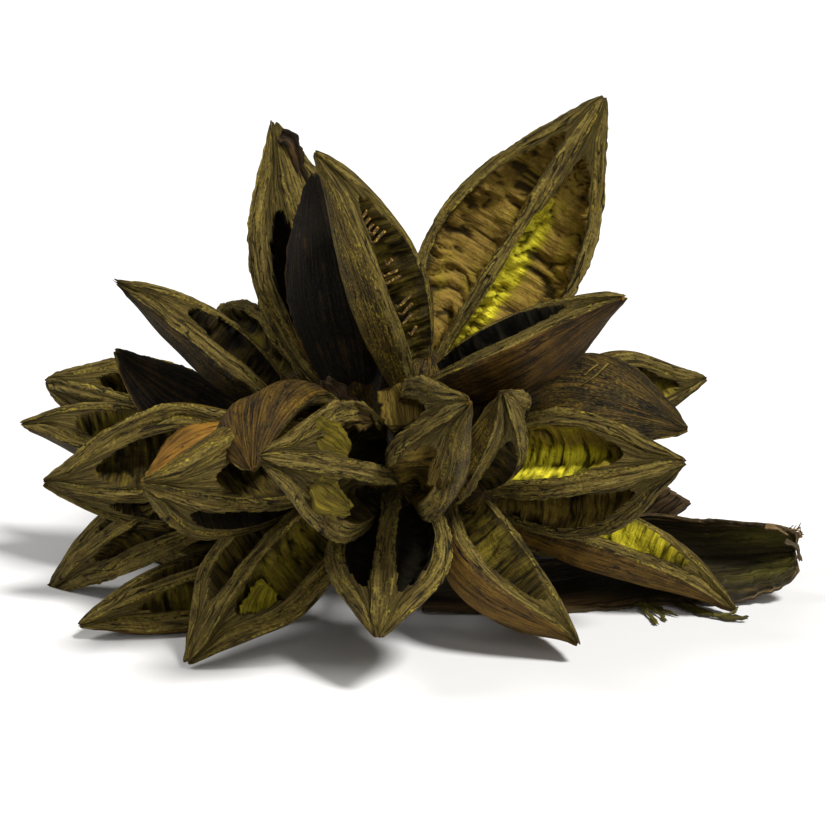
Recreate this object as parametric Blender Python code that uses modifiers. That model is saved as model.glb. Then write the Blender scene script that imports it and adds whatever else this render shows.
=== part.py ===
"""Star pod: the dried, open seed head of a traveller's-tree kind of plant.

Woody capsules sit on short stalks all round a knotty axis. Each capsule has split into three
boat-shaped valves, which spread like a star. A valve is a thick rind with a partition standing
along its middle, so its inner side shows two hollows between three rims. The seed head lies on
its lower valve tips and on the dry sheath that it grew from.

Millimetres throughout, turned to metres by MM. Places are measured from the heart, the middle of
the axis: x to the right, y away from the front, z up.
"""

import math
from dataclasses import dataclass

import bmesh
import bpy
import numpy as np
from mathutils import Matrix, Vector

MM = 0.001

# Where the heart stands in the object's own frame: its base is at z = 0.
HEART = Vector((-1.0, -0.5, 42.0))

# Valves
RIND = 3.8  # thickness of the woody rind at a rim
PARTITION = 4.0  # thickness of the partition along the middle of a valve
SPREAD = math.radians(64)  # from the middle of a valve to either rim, seen along the capsule
BASE_GIRTH = 6.5  # half-width of a valve where it joins the others
TIP_GIRTH = 2.2  # and at its blunt tip
GROOVE = 0.10  # how far the rind is drawn in along the partition, as a share of the girth
HOLLOW_FROM = 0.05  # the hollows begin and end at these shares of the valve's length
HOLLOW_TO = 0.83
HOLLOW_END = 0.11  # share of the length over which a hollow's floor rises at either end
RIND_STEPS = (-1.0, -0.62, -0.25, 0.0, 0.25, 0.62, 1.0)  # points across the back, in spreads
STATIONS = (0.0, 0.06, 0.14, 0.27, 0.42, 0.57, 0.70, 0.82, 0.91, 1.0)  # along a valve

# Stalks and axis
CUP_RADIUS = 7.5  # the knob at a capsule's foot
STALK_TOP = 4.6  # radius of a stalk at its cup
STALK_FOOT = 3.2  # and where it stands in the axis
SOCKET_DEPTH = 3.0
FIT_GAP = 0.35  # clear space round a piece that stands in or against another
AXIS_LINE = ((-23, 5, 1), (-8, 4, 1), (8, 5, -1), (24, 9, -4))  # middle of the woody axis
AXIS_RADII = (5.5, 7.0, 7.0, 6.0)
AXIS_SIDES = 12
AXIS_RINGS = 7
ROUND_SIDES = 10  # of a stalk, a cup or the stump
PEDUNCLE = ((2, 5, -3), (-2, 12, -36))  # the broken stump under the axis
PEDUNCLE_RADII = (5.5, 6.5)

# The sheath, a dry boat-shaped leaf that lies on its side, open to the front. Each rib gives x,
# then (y, z) of its upper edge, its keel and its lower edge.
SHEATH_THICKNESS = 1.5
SHEATH_RIBS = (
    (6, (24, -37.0), (20, -41.25), (2, -41.25)),
    (21, (28, -37.0), (24, -41.25), (1, -41.25)),
    (36, (34, -35.0), (30, -41.25), (1, -41.25)),
    (52, (37, -33.0), (35, -40.5), (3, -41.25)),
    (68, (37, -22.0), (41, -37.0), (6, -41.25)),
    (84, (31, -21.0), (38, -35.0), (8, -41.25)),
    (97, (22, -20.0), (32, -33.0), (10, -40.5)),
    (108, (15, -20.0), (25, -30.0), (11, -36.5)),
    (113, (14, -23.0), (20, -28.5), (13, -32.0)),
)
SHEATH_BULGE = 0.12  # how far the upper flap is rounded outwards, as a share of its width

# The ribbed bract that stands behind the sheath
BRACT_THICKNESS = 1.6
BRACT_FOOT = ((57, 46, -20), (66, 48, -36))
BRACT_TOP = ((69, 41, -7), (85, 40, -19))
BRACT_BOW = 5.0  # how far its middle stands out to the front
BRACT_RIDGES = 7
BRACT_RIDGE_HEIGHT = 0.9
BRACT_ROWS = 6  # rows of points from its foot to its top

CUTTER_SIZE = (400, 400, 40)  # the block under the ground that trims what reaches below it

# Plain colours of the solids
CAPSULE_COLOUR = (0.14, 0.105, 0.035)
AXIS_COLOUR = (0.10, 0.07, 0.03)
SHEATH_COLOUR = (0.035, 0.03, 0.015)
BRACT_COLOUR = (0.06, 0.04, 0.02)


@dataclass(frozen=True)
class Valve:
    """One boat of a capsule.

    The bow is how far its middle curves inwards from the straight line between foot and tip. Its
    hollows face the middle of the capsule unless a direction is given.
    """

    tip: tuple
    girth: float
    bow: float = 6.0
    faces: tuple = ()


@dataclass(frozen=True)
class Capsule:
    """One split capsule: its seat is where its valves join, and its stand is the share of the
    axis's length, from the left, that its stalk grows at."""

    name: str
    seat: tuple
    stand: float
    valves: tuple


# Name, seat, stand and valves of each capsule; tip, half-width, bow and facing of each valve.
CAPSULES = (
    Capsule("capsule_crown", (7, 0, 26), 0.6, (
        Valve((-21, -22, 90), 22, 12),
        Valve((55, 10, 101), 24, 3, (-0.2, -1, 0)),
        Valve((57, -42, 56), 21, 6, (-0.1, 0.1, 1)),
    )),
    Capsule("capsule_upper_left", (-13, 14, 22), 0.42, (
        Valve((-35, 38, 91), 20, 2, (0.4, -1, 0)),
        Valve((-23, 4, 81), 15, 8),
        Valve((-19, 66, 69), 17, 8),
    )),
    Capsule("capsule_shoulder", (-30, 19, 16), 0.28, (
        Valve((-76, 8, 51), 17, 8, (0, -0.15, 1)),
        Valve((-54, 80, 32), 13, 10),
        Valve((-24, 92, 5), 14, 9),
    )),
    Capsule("capsule_left_back", (-43, 32, 1), 0.08, (
        Valve((-111, 54, 2), 20, 8),
        Valve((-107, 74, 10), 17, 10),
        Valve((-80, 24, 28), 13, 10),
    )),
    Capsule("capsule_left", (-34, 2, 1), 0.0, (
        Valve((-98, 4, -5), 24, 9, (0.2, -0.85, -0.4)),
        Valve((-68, -19, 2), 18, 10),
        Valve((-102, 33, -43), 14, 12),
    )),
    Capsule("capsule_left_front", (-18, -14, -1), 0.32, (
        Valve((-64, -64, 11), 23, 8, (0.3, -0.85, -0.4)),
        Valve((-36, -66, 15), 19, -9, (0.5, 0.5, -0.8)),
        Valve((-55, -49, -39), 20, 7),
    )),
    Capsule("capsule_left_low", (-28, 9, -26), 0.2, (
        Valve((-86, -22, -37), 16, 5, (0, -0.5, 0.85)),
        Valve((-82, 72, -40), 17, 8),
        Valve((-56, 64, -40), 17, 8),
    )),
    Capsule("capsule_front", (-1, -29, 4), 0.48, (
        Valve((-32, -97, 26), 20, 11, (0.9, -0.5, 0)),
        Valve((16, -97, 39), 20, 10, (-1, -0.5, -0.1)),
        Valve((-5, -76, -24), 18, 5),
    )),
    Capsule("capsule_right_front", (20, -11, -2), 0.78, (
        Valve((74, -35, 10), 21, 8),
        Valve((27, -57, 33), 17, 10),
        Valve((47, -45, -35), 22, 2, (1, -0.2, 0.6)),
    )),
    Capsule("capsule_right_back", (35, 28, 3), 0.76, (
        Valve((89, 50, 15), 20, 5),
        Valve((78, -6, 12), 20, -3, (0, 0.7, -0.7)),
        Valve((58, 98, 4), 16, 11),
    )),
    Capsule("capsule_right_low", (27, 22, -15), 1.0, (
        Valve((93, 0, -39), 19, 12, (0.2, 0.12, 1)),
        Valve((70, 86, -34), 16, 12),
        Valve((43, 88, -40), 17, 9),
    )),
    Capsule("capsule_back", (0, 38, 3), 0.55, (
        Valve((-14, 96, 20), 18),
        Valve((21, 96, 22), 18),
        Valve((17, 98, -39), 18),
    )),
)


def swell(t):
    """How full a valve is at share t of its length, 0 at both ends and 1 at its widest.

    A sine whose top is pulled towards the foot. Its power grows along the valve, which rounds the
    foot and draws the tip out into a beak.
    """
    return np.sin(np.pi * t**0.87) ** (0.7 + 0.45 * t)


def smooth(t):
    """An ease from 0 to 1."""
    t = np.clip(t, 0.0, 1.0)
    return t * t * (3 - 2 * t)


def girth_at(t, girth):
    """Half-width of a valve at share t of its length."""
    foot = (BASE_GIRTH - TIP_GIRTH) * (1 - t) ** 5
    return TIP_GIRTH + foot + (girth - TIP_GIRTH) * swell(t)


def hollow_at(t):
    """How deep the hollows are at share t, from 0, solid, to 1, down to the rind."""
    return smooth((t - HOLLOW_FROM) / HOLLOW_END) * smooth((HOLLOW_TO - t) / HOLLOW_END)


def on_circle(radius, angle):
    """A point of a section, as (sideways, outwards)."""
    return np.array([radius * math.sin(angle), radius * math.cos(angle)])


def valve_section(t, girth):
    """One closed section across a valve, as (sideways, outwards) points.

    It runs along the back from rim to rim, over the right rim into the hollow and up the
    partition, then down into the other hollow and back to the left rim.
    """
    radius = girth_at(t, girth)
    inner = radius - min(RIND, 0.45 * radius)
    half_wall = min(PARTITION / 2, 0.35 * radius)
    depth = hollow_at(t)
    points = []
    for step in RIND_STEPS:
        pull = 1 - GROOVE * math.exp(-((step / 0.3) ** 2))
        points.append(on_circle(radius * pull, step * SPREAD))
    rim = on_circle(inner, SPREAD)
    crest = np.array([half_wall, 0.0])
    root_angle = math.asin(half_wall / inner)
    floor = (on_circle(inner, 0.6 * SPREAD), on_circle(inner * (1 - GROOVE), root_angle))
    face = (rim + 0.45 * (crest - rim), rim + 0.85 * (crest - rim))
    right = [rim]
    right += [a + depth * (b - a) for a, b in zip(face, floor)]
    right += [crest]
    left = [point * (-1, 1) for point in reversed(right)]
    return points + right + left


def loft(bm, sections):
    """Closes rings of points, one after another, into a tube with both ends capped."""
    rings = [[bm.verts.new(point) for point in ring] for ring in sections]
    for ring, following in zip(rings, rings[1:]):
        count = len(ring)
        for i in range(count):
            j = (i + 1) % count
            bm.faces.new((ring[i], ring[j], following[j], following[i]))
    bm.faces.new(list(reversed(rings[0])))
    bm.faces.new(rings[-1])
    bmesh.ops.recalc_face_normals(bm, faces=bm.faces)


def valve_frame(seat, tip, facing):
    """The matrix that lays a valve from its seat to its tip with its hollows facing one way."""
    along = (tip - seat).normalized()
    outward = (facing.dot(along) * along - facing).normalized()
    sideways = outward.cross(along)
    turned = Matrix((along, sideways, outward)).transposed()
    return Matrix.Translation(seat) @ turned.to_4x4()


def new_object(name, bm, placed=Matrix()):
    """Puts a finished bmesh, in millimetres, into an object in metres.

    The matrix places it about the heart.
    """
    bmesh.ops.scale(bm, vec=(MM, MM, MM), verts=bm.verts)
    mesh = bpy.data.meshes.new(name)
    bm.to_mesh(mesh)
    bm.free()
    made = bpy.data.objects.new(name, mesh)
    made.location = (HEART + placed.translation) * MM
    made.rotation_euler = placed.to_euler()
    return made


def valve_object(name, capsule, valve, axis):
    """One valve of a capsule, as a loft between unlike sections."""
    seat, tip = Vector(capsule.seat), Vector(valve.tip)
    length = (tip - seat).length
    bm = bmesh.new()
    sections = []
    for t in STATIONS:
        ring = valve_section(t, valve.girth)
        inwards = valve.bow * 4 * t * (1 - t)
        sections.append([Vector((t * length, side, out - inwards)) for side, out in ring])
    loft(bm, sections)
    facing = Vector(valve.faces) if valve.faces else axis
    return new_object(name, bm, valve_frame(seat, tip, facing))


def cone_object(name, start, end, start_radius, end_radius):
    """A cone whose ends are centred on two points."""
    span = end - start
    bm = bmesh.new()
    bmesh.ops.create_cone(
        bm,
        cap_ends=True,
        segments=ROUND_SIDES,
        radius1=start_radius,
        radius2=end_radius,
        depth=span.length,
        matrix=Matrix.Translation((0, 0, span.length / 2)),
    )
    turned = span.to_track_quat("Z", "Y").to_matrix().to_4x4()
    return new_object(name, bm, Matrix.Translation(start) @ turned)


def axis_at(share):
    """The axis's middle point and radius at a share of its length, straight between its knots."""
    place = share * (len(AXIS_LINE) - 1)
    knot = min(int(place), len(AXIS_LINE) - 2)
    part = place - knot
    middle = Vector(AXIS_LINE[knot]).lerp(Vector(AXIS_LINE[knot + 1]), part)
    radius = AXIS_RADII[knot] + part * (AXIS_RADII[knot + 1] - AXIS_RADII[knot])
    return middle, radius


def stalk_object(name, capsule, grown=0.0):
    """The short stalk under a capsule; grown makes it wider and longer, to cut its socket."""
    middle, radius = axis_at(capsule.stand)
    seat = Vector(capsule.seat)
    up = (seat - middle).normalized()
    foot = middle + up * (radius - SOCKET_DEPTH - grown)
    return cone_object(name, foot, seat, STALK_FOOT + grown, STALK_TOP + grown)


def cup_object(name, capsule):
    """The knob that the valves grow from."""
    bm = bmesh.new()
    bmesh.ops.create_uvsphere(
        bm, u_segments=ROUND_SIDES, v_segments=ROUND_SIDES // 2 + 1, radius=CUP_RADIUS
    )
    return new_object(name, bm, Matrix.Translation(capsule.seat))


def give_finish(body, colour, roughness):
    """Gives a piece a plain Principled material of its own."""
    made = bpy.data.materials.new(f"{body.name}_finish")
    made.use_nodes = True
    shader = made.node_tree.nodes["Principled BSDF"]
    shader.inputs["Base Color"].default_value = (*colour, 1.0)
    shader.inputs["Roughness"].default_value = roughness
    shader.inputs["Metallic"].default_value = 0.0
    made.diffuse_color = (*colour, 1.0)
    body.data.materials.clear()
    body.data.materials.append(made)


def union(target, others, collection):
    """Joins other objects into the target, applies it and removes them."""
    for other in others:
        collection.objects.link(other)
    join = target.modifiers.new("join", "BOOLEAN")
    join.operation = "UNION"
    join.operand_type = "COLLECTION"
    join.collection = collection
    join.solver = "EXACT"
    apply_modifiers(target)
    for other in others:
        bpy.data.objects.remove(other)
    keep_outer_body(target)


def keep_outer_body(target):
    """Drops whatever isn't joined to the piece's largest surface: loose scraps, sealed hollows."""
    bm = bmesh.new()
    bm.from_mesh(target.data)
    unseen = set(bm.verts)
    islands = []
    while unseen:
        edge_of_search = [unseen.pop()]
        island = set(edge_of_search)
        while edge_of_search:
            for edge in edge_of_search.pop().link_edges:
                for vertex in edge.verts:
                    if vertex in unseen:
                        unseen.discard(vertex)
                        island.add(vertex)
                        edge_of_search.append(vertex)
        islands.append(island)
    islands.sort(key=len)
    for island in islands[:-1]:
        bmesh.ops.delete(bm, geom=list(island), context="VERTS")
    bm.to_mesh(target.data)
    bm.free()


def apply_modifiers(target):
    """Bakes the target's modifiers into its mesh."""
    bpy.context.view_layer.update()
    graph = bpy.context.evaluated_depsgraph_get()
    baked = bpy.data.meshes.new_from_object(target.evaluated_get(graph))
    target.modifiers.clear()
    target.data = baked


def make_capsule(capsule, pod, pieces):
    """Three valves, their cup and their stalk in one solid whose origin is at its seat."""
    seat = Vector(capsule.seat)
    reaches = [(Vector(valve.tip) - seat).normalized() for valve in capsule.valves]
    axis = sum(reaches, Vector()).normalized()
    valves = [
        valve_object(f"{capsule.name}_valve_{i}", capsule, valve, axis)
        for i, valve in enumerate(capsule.valves)
    ]
    stalk = stalk_object(f"{capsule.name}_stalk", capsule)
    body = cup_object(capsule.name, capsule)
    pod.objects.link(body)
    union(body, [stalk, *valves], pieces)
    give_finish(body, CAPSULE_COLOUR, 0.8)


def make_axis(pod, pieces):
    """The knotty axis, a loft round its line, with a socket cut for each stalk."""
    bm = bmesh.new()
    rings = []
    spans = AXIS_RINGS - 1
    for i in range(AXIS_RINGS):
        middle, radius = axis_at(i / spans)
        ahead = axis_at(min(1.0, (i + 0.5) / spans))[0]
        behind = axis_at(max(0.0, (i - 0.5) / spans))[0]
        turn = (ahead - behind).to_track_quat("X", "Z")
        ring = []
        for k in range(AXIS_SIDES):
            angle = 2 * math.pi * k / AXIS_SIDES
            spoke = turn @ Vector((0, math.cos(angle), math.sin(angle)))
            ring.append(middle + spoke * radius)
        rings.append(ring)
    loft(bm, rings)
    body = new_object("axis", bm)
    pod.objects.link(body)
    top, bottom = (Vector(place) for place in PEDUNCLE)
    stump = cone_object("stump", top, bottom, *PEDUNCLE_RADII)
    union(body, [stump], pieces)
    for capsule in CAPSULES:
        pieces.objects.link(stalk_object(f"{capsule.name}_socket", capsule, FIT_GAP))
    cut = body.modifiers.new("sockets", "BOOLEAN")
    cut.operation = "DIFFERENCE"
    cut.operand_type = "COLLECTION"
    cut.collection = pieces
    cut.solver = "EXACT"
    apply_modifiers(body)
    for socket in list(pieces.objects):
        bpy.data.objects.remove(socket)
    give_finish(body, AXIS_COLOUR, 0.85)


def make_sheet(name, rows, thickness, pod):
    """A thin sheet through rows of points, thickened evenly to both sides."""
    bm = bmesh.new()
    grid = [[bm.verts.new(point) for point in row] for row in rows]
    for row, following in zip(grid, grid[1:]):
        for i in range(len(row) - 1):
            bm.faces.new((row[i], row[i + 1], following[i + 1], following[i]))
    body = new_object(name, bm)
    wall = body.modifiers.new("wall", "SOLIDIFY")
    wall.thickness = thickness * MM
    wall.offset = 0.0
    wall.use_even_offset = True
    pod.objects.link(body)
    apply_modifiers(body)
    return body


def sheath_rows():
    """The sheath's ribs as rows of points, each flap rounded away from the opening."""
    rows = []
    for x, upper, keel, lower in SHEATH_RIBS:
        corners = [Vector((x, *place)) for place in (upper, keel, lower)]
        row = []
        for start, end, bulge in zip(corners, corners[1:], (SHEATH_BULGE, 0.0)):
            across = end - start
            outwards = Vector((0, -across.z, across.y)) * bulge
            for step in (0, 1 / 3, 2 / 3):
                lift = 4 * step * (1 - step)
                row.append(start + step * across + lift * outwards)
        row.append(corners[-1])
        rows.append(row)
    return rows


def bract_rows():
    """The ribbed bract as rows of points, from its foot to its top, with ridges side by side."""
    foot = [Vector(place) for place in BRACT_FOOT]
    top = [Vector(place) for place in BRACT_TOP]
    across = 2 * BRACT_RIDGES
    rows = []
    for i in range(BRACT_ROWS):
        up = i / (BRACT_ROWS - 1)
        start, end = foot[0].lerp(top[0], up), foot[1].lerp(top[1], up)
        row = []
        for k in range(across + 1):
            side = k / across
            ridge = BRACT_RIDGE_HEIGHT * (k % 2)
            out = BRACT_BOW * 4 * side * (1 - side) * (0.4 + 0.6 * up) + ridge
            row.append(start.lerp(end, side) - Vector((0, out, 0)))
        rows.append(row)
    return rows


def floor_cutter():
    """A block under the ground, to trim what would reach below it."""
    bm = bmesh.new()
    bmesh.ops.create_cube(bm, size=1.0)
    bmesh.ops.scale(bm, vec=CUTTER_SIZE, verts=bm.verts)
    below = Matrix.Translation((0, 0, -CUTTER_SIZE[2] / 2 - HEART.z))
    return new_object("ground_cutter", bm, below)


def trim_at_floor(pod, pieces):
    """Gives every piece that reaches below the ground a flat spot to rest on."""
    cutter = floor_cutter()
    pieces.objects.link(cutter)
    bpy.context.view_layer.update()
    for body in pod.objects:
        lowest = min((body.matrix_world @ Vector(corner)).z for corner in body.bound_box)
        if lowest >= 0:
            continue
        cut = body.modifiers.new("ground", "BOOLEAN")
        cut.operation = "DIFFERENCE"
        cut.object = cutter
        cut.solver = "EXACT"
        apply_modifiers(body)
    bpy.data.objects.remove(cutter)


def gather_on_heart(pod):
    """Parents every piece to an empty at the heart, so that the pod can be moved as one."""
    heart = bpy.data.objects.new("heart", None)
    heart.location = HEART * MM
    for body in pod.objects:
        body.parent = heart
        body.location -= heart.location
    pod.objects.link(heart)


def clear_scene():
    """Removes whatever the file started with."""
    for obj in list(bpy.data.objects):
        bpy.data.objects.remove(obj)


def main():
    """Builds the whole pod."""
    clear_scene()
    pod = bpy.data.collections.new("star_pod")
    pieces = bpy.data.collections.new("pieces_being_joined")
    for collection in (pod, pieces):
        bpy.context.scene.collection.children.link(collection)
    pieces.hide_render = True
    for capsule in CAPSULES:
        make_capsule(capsule, pod, pieces)
    make_axis(pod, pieces)
    sheath = make_sheet("sheath", sheath_rows(), SHEATH_THICKNESS, pod)
    give_finish(sheath, SHEATH_COLOUR, 0.6)
    bract = make_sheet("ribbed_bract", bract_rows(), BRACT_THICKNESS, pod)
    give_finish(bract, BRACT_COLOUR, 0.8)
    trim_at_floor(pod, pieces)
    gather_on_heart(pod)


if __name__ == "__main__":
    main()
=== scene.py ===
"""Star pod: a dried seed head of split woody capsules, dressed for close views.

The solids give each capsule's place, size and main form. Here each of them is replaced by the same
form worked out finely: a husk with lengthwise fibres, split rims with torn edges, hollows with a
wrinkled lining, a partition between them and a frayed tip. The axis, the sheath and the ribbed
bract are worked out in the same way, and loose fibres hang where the real ones do.

Lengths are millimetres about the heart of the pod until a mesh is built, which turns them to
metres in the frame of the solids: x to the right, y away from the front, z up.
"""

from __future__ import annotations

import logging
import math
from dataclasses import dataclass, field
from enum import Enum, IntEnum
from typing import Any

import bpy
import numpy as np
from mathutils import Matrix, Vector


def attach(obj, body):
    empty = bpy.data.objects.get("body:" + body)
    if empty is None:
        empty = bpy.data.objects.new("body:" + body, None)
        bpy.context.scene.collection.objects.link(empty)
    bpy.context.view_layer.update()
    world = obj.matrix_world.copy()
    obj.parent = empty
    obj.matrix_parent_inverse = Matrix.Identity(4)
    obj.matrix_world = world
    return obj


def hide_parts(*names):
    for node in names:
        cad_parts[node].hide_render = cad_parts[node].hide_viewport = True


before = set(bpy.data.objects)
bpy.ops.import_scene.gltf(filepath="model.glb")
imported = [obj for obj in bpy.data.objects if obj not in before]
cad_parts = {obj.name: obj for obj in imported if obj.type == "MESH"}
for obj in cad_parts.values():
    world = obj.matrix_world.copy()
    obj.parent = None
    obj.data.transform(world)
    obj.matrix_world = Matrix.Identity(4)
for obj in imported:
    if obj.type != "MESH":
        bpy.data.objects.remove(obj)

LOG = logging.getLogger("star_pod")
MM = 0.001  # a millimetre in metres
HEART = np.array([-1.0, -0.5, 42.0])  # middle of the pod, in millimetres in the solids' frame
BODY = "root"
SCATTER = (374761393, 668265263, 974634777)  # large odd numbers that scatter neighbouring cells
FOLD = 1274126177  # and one that scatters the result again

Line = tuple[tuple[float, ...], ...]
Corner = tuple[float, float]


# Helpers for numbers, noise and meshes


def smooth(value: np.ndarray | float) -> np.ndarray:
    """Ease from 0 to 1, flat at both ends.

    Args:
        value: Any number or array; it is clipped to 0..1 first.

    Returns:
        3v² - 2v³ of the clipped value.
    """
    v = np.clip(value, 0.0, 1.0)
    return v * v * (3 - 2 * v)


def lattice(i: np.ndarray, j: np.ndarray, seed: int) -> np.ndarray:
    """Steady pseudo-random numbers, one for each whole-number cell.

    Args:
        i: Cell column.
        j: Cell row.
        seed: Another seed gives another pattern.

    Returns:
        Numbers from -1 to 1: the whole numbers multiplied, added, and folded on themselves.
    """
    h = (i * SCATTER[0] + j * SCATTER[1] + seed * SCATTER[2]) & 0xFFFFFFFF
    h = ((h ^ (h >> 13)) * FOLD) & 0xFFFFFFFF
    h ^= h >> 16
    return h / 2147483647.5 - 1.0


def noise(x: np.ndarray, y: np.ndarray, seed: int) -> np.ndarray:
    """Smooth value noise, one cell a unit: cell corners blended by the ease of both remainders.

    Args:
        x: First parameter, in cells.
        y: Second parameter, in cells.
        seed: Another seed gives another pattern.

    Returns:
        Values from -1 to 1.
    """
    x, y = np.broadcast_arrays(np.asarray(x, float), np.asarray(y, float))
    i, j = np.floor(x).astype(np.int64), np.floor(y).astype(np.int64)
    u, v = smooth(x - i), smooth(y - j)
    near = lattice(i, j, seed) * (1 - u) + lattice(i + 1, j, seed) * u
    far = lattice(i, j + 1, seed) * (1 - u) + lattice(i + 1, j + 1, seed) * u
    return near * (1 - v) + far * v


def rough(x: np.ndarray, y: np.ndarray, seed: int, layers: int = 3) -> np.ndarray:
    """Layered noise: each layer is twice as fine and half as strong as the one before.

    Args:
        x: First parameter, in cells of the coarsest layer.
        y: Second parameter.
        seed: Another seed gives another pattern.
        layers: How many layers are added.

    Returns:
        Values of about -1 to 1.
    """
    total = sum(noise(x * 2**k, y * 2**k, seed + 31 * k) * 0.5**k for k in range(layers))
    return total / (2 - 0.5 ** (layers - 1))


def creased(x: np.ndarray, y: np.ndarray, seed: int) -> np.ndarray:
    """Two layers of noise folded at zero: rounded swells with sharp creases between them.

    Args:
        x: First parameter, in cells of the coarser layer.
        y: Second parameter.
        seed: Another seed gives another pattern.

    Returns:
        Values from -1 in the creases to about 1.
    """
    folded = np.abs(noise(x, y, seed)) + 0.5 * np.abs(noise(2 * x, 2 * y, seed + 31))
    return 2.8 * folded / 1.5 - 1


def bell(offset: np.ndarray) -> np.ndarray:
    """A smooth bump, 1 in its middle: e to the power of minus the square of the offset."""
    return np.exp(-(offset**2))


def unit(vectors: np.ndarray) -> np.ndarray:
    """Scale vectors along the last axis to length one."""
    return vectors / np.maximum(np.linalg.norm(vectors, axis=-1, keepdims=True), 1e-9)


def run_along(points: np.ndarray) -> np.ndarray:
    """Distance of each point from the first one, along the line through them."""
    steps = np.linalg.norm(np.diff(points, axis=0), axis=1)
    return np.concatenate([[0], np.cumsum(steps)])


def round_turn(sides: int) -> np.ndarray:
    """Angles of points spread evenly round a circle."""
    return np.linspace(0, 2 * np.pi, sides + 1)[:-1]


def surface_normals(grid: np.ndarray) -> np.ndarray:
    """Normals of a tube's grid, from the cross product of its two directions of change.

    Args:
        grid: Points as stations along the tube by points round it, closed round.

    Returns:
        Unit normals that point out of the tube.
    """
    along = np.gradient(grid, axis=0)
    around = (np.roll(grid, -1, axis=1) - np.roll(grid, 1, axis=1)) / 2
    normals = unit(np.cross(around, along))
    outward = grid - grid.mean(axis=1, keepdims=True)
    return normals if (normals * outward).sum() > 0 else -normals


def sheet_normals(middle: np.ndarray) -> np.ndarray:
    """Unit normals of an open grid, from the cross product of its two directions of change."""
    return unit(np.cross(np.gradient(middle, axis=0), np.gradient(middle, axis=1)))


def two_sided(middle: np.ndarray, thickness: np.ndarray | float) -> np.ndarray:
    """Give a sheet two sides, half its thickness to either side along its normals.

    Args:
        middle: Grid of points through the middle of the sheet.
        thickness: Its thickness, a number or a grid.

    Returns:
        A grid whose rows run over one side and back over the other.
    """
    half = sheet_normals(middle) * np.broadcast_to(thickness, middle.shape[:2])[..., None] / 2
    return on_both(middle + half, middle - half)


def on_both(front: np.ndarray, back: np.ndarray) -> np.ndarray:
    """Lay out the grids of a sheet's two sides as one: the back's rows run the other way."""
    return np.concatenate([front, back[:, ::-1]], axis=1)


def add_object(name: str, data: bpy.types.ID) -> bpy.types.Object:
    """Make an object and link it to the scene.

    Args:
        name: Its name.
        data: Its mesh, light or camera.

    Returns:
        The object.
    """
    made = bpy.data.objects.new(name, data)
    bpy.context.scene.collection.objects.link(made)
    return made


def place_piece(piece: bpy.types.Object, node: str) -> bpy.types.Object:
    """Let a piece ride on the pod and stand for its node.

    Args:
        piece: The piece.
        node: Name of the solid that it stands for.

    Returns:
        The piece.
    """
    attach(piece, BODY)
    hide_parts(node)
    return piece


class Zone(IntEnum):
    """The finishes of a capsule, in the order of its material slots."""

    HUSK = 0
    RIM = 1
    LINING = 2
    TORN = 3


# How light or bright a point's colour is (set low on a few valves to paint their shade, and on the
# sheath painting light on two lit patches), how deep in a hollow, how near an edge (in the lining
# also its creases and the upper part of a hollow's wall, painted dark there as shade), how dusty,
# how undyed.
MARKS = ("tone", "hollow", "edge", "bloom", "tan")


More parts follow.
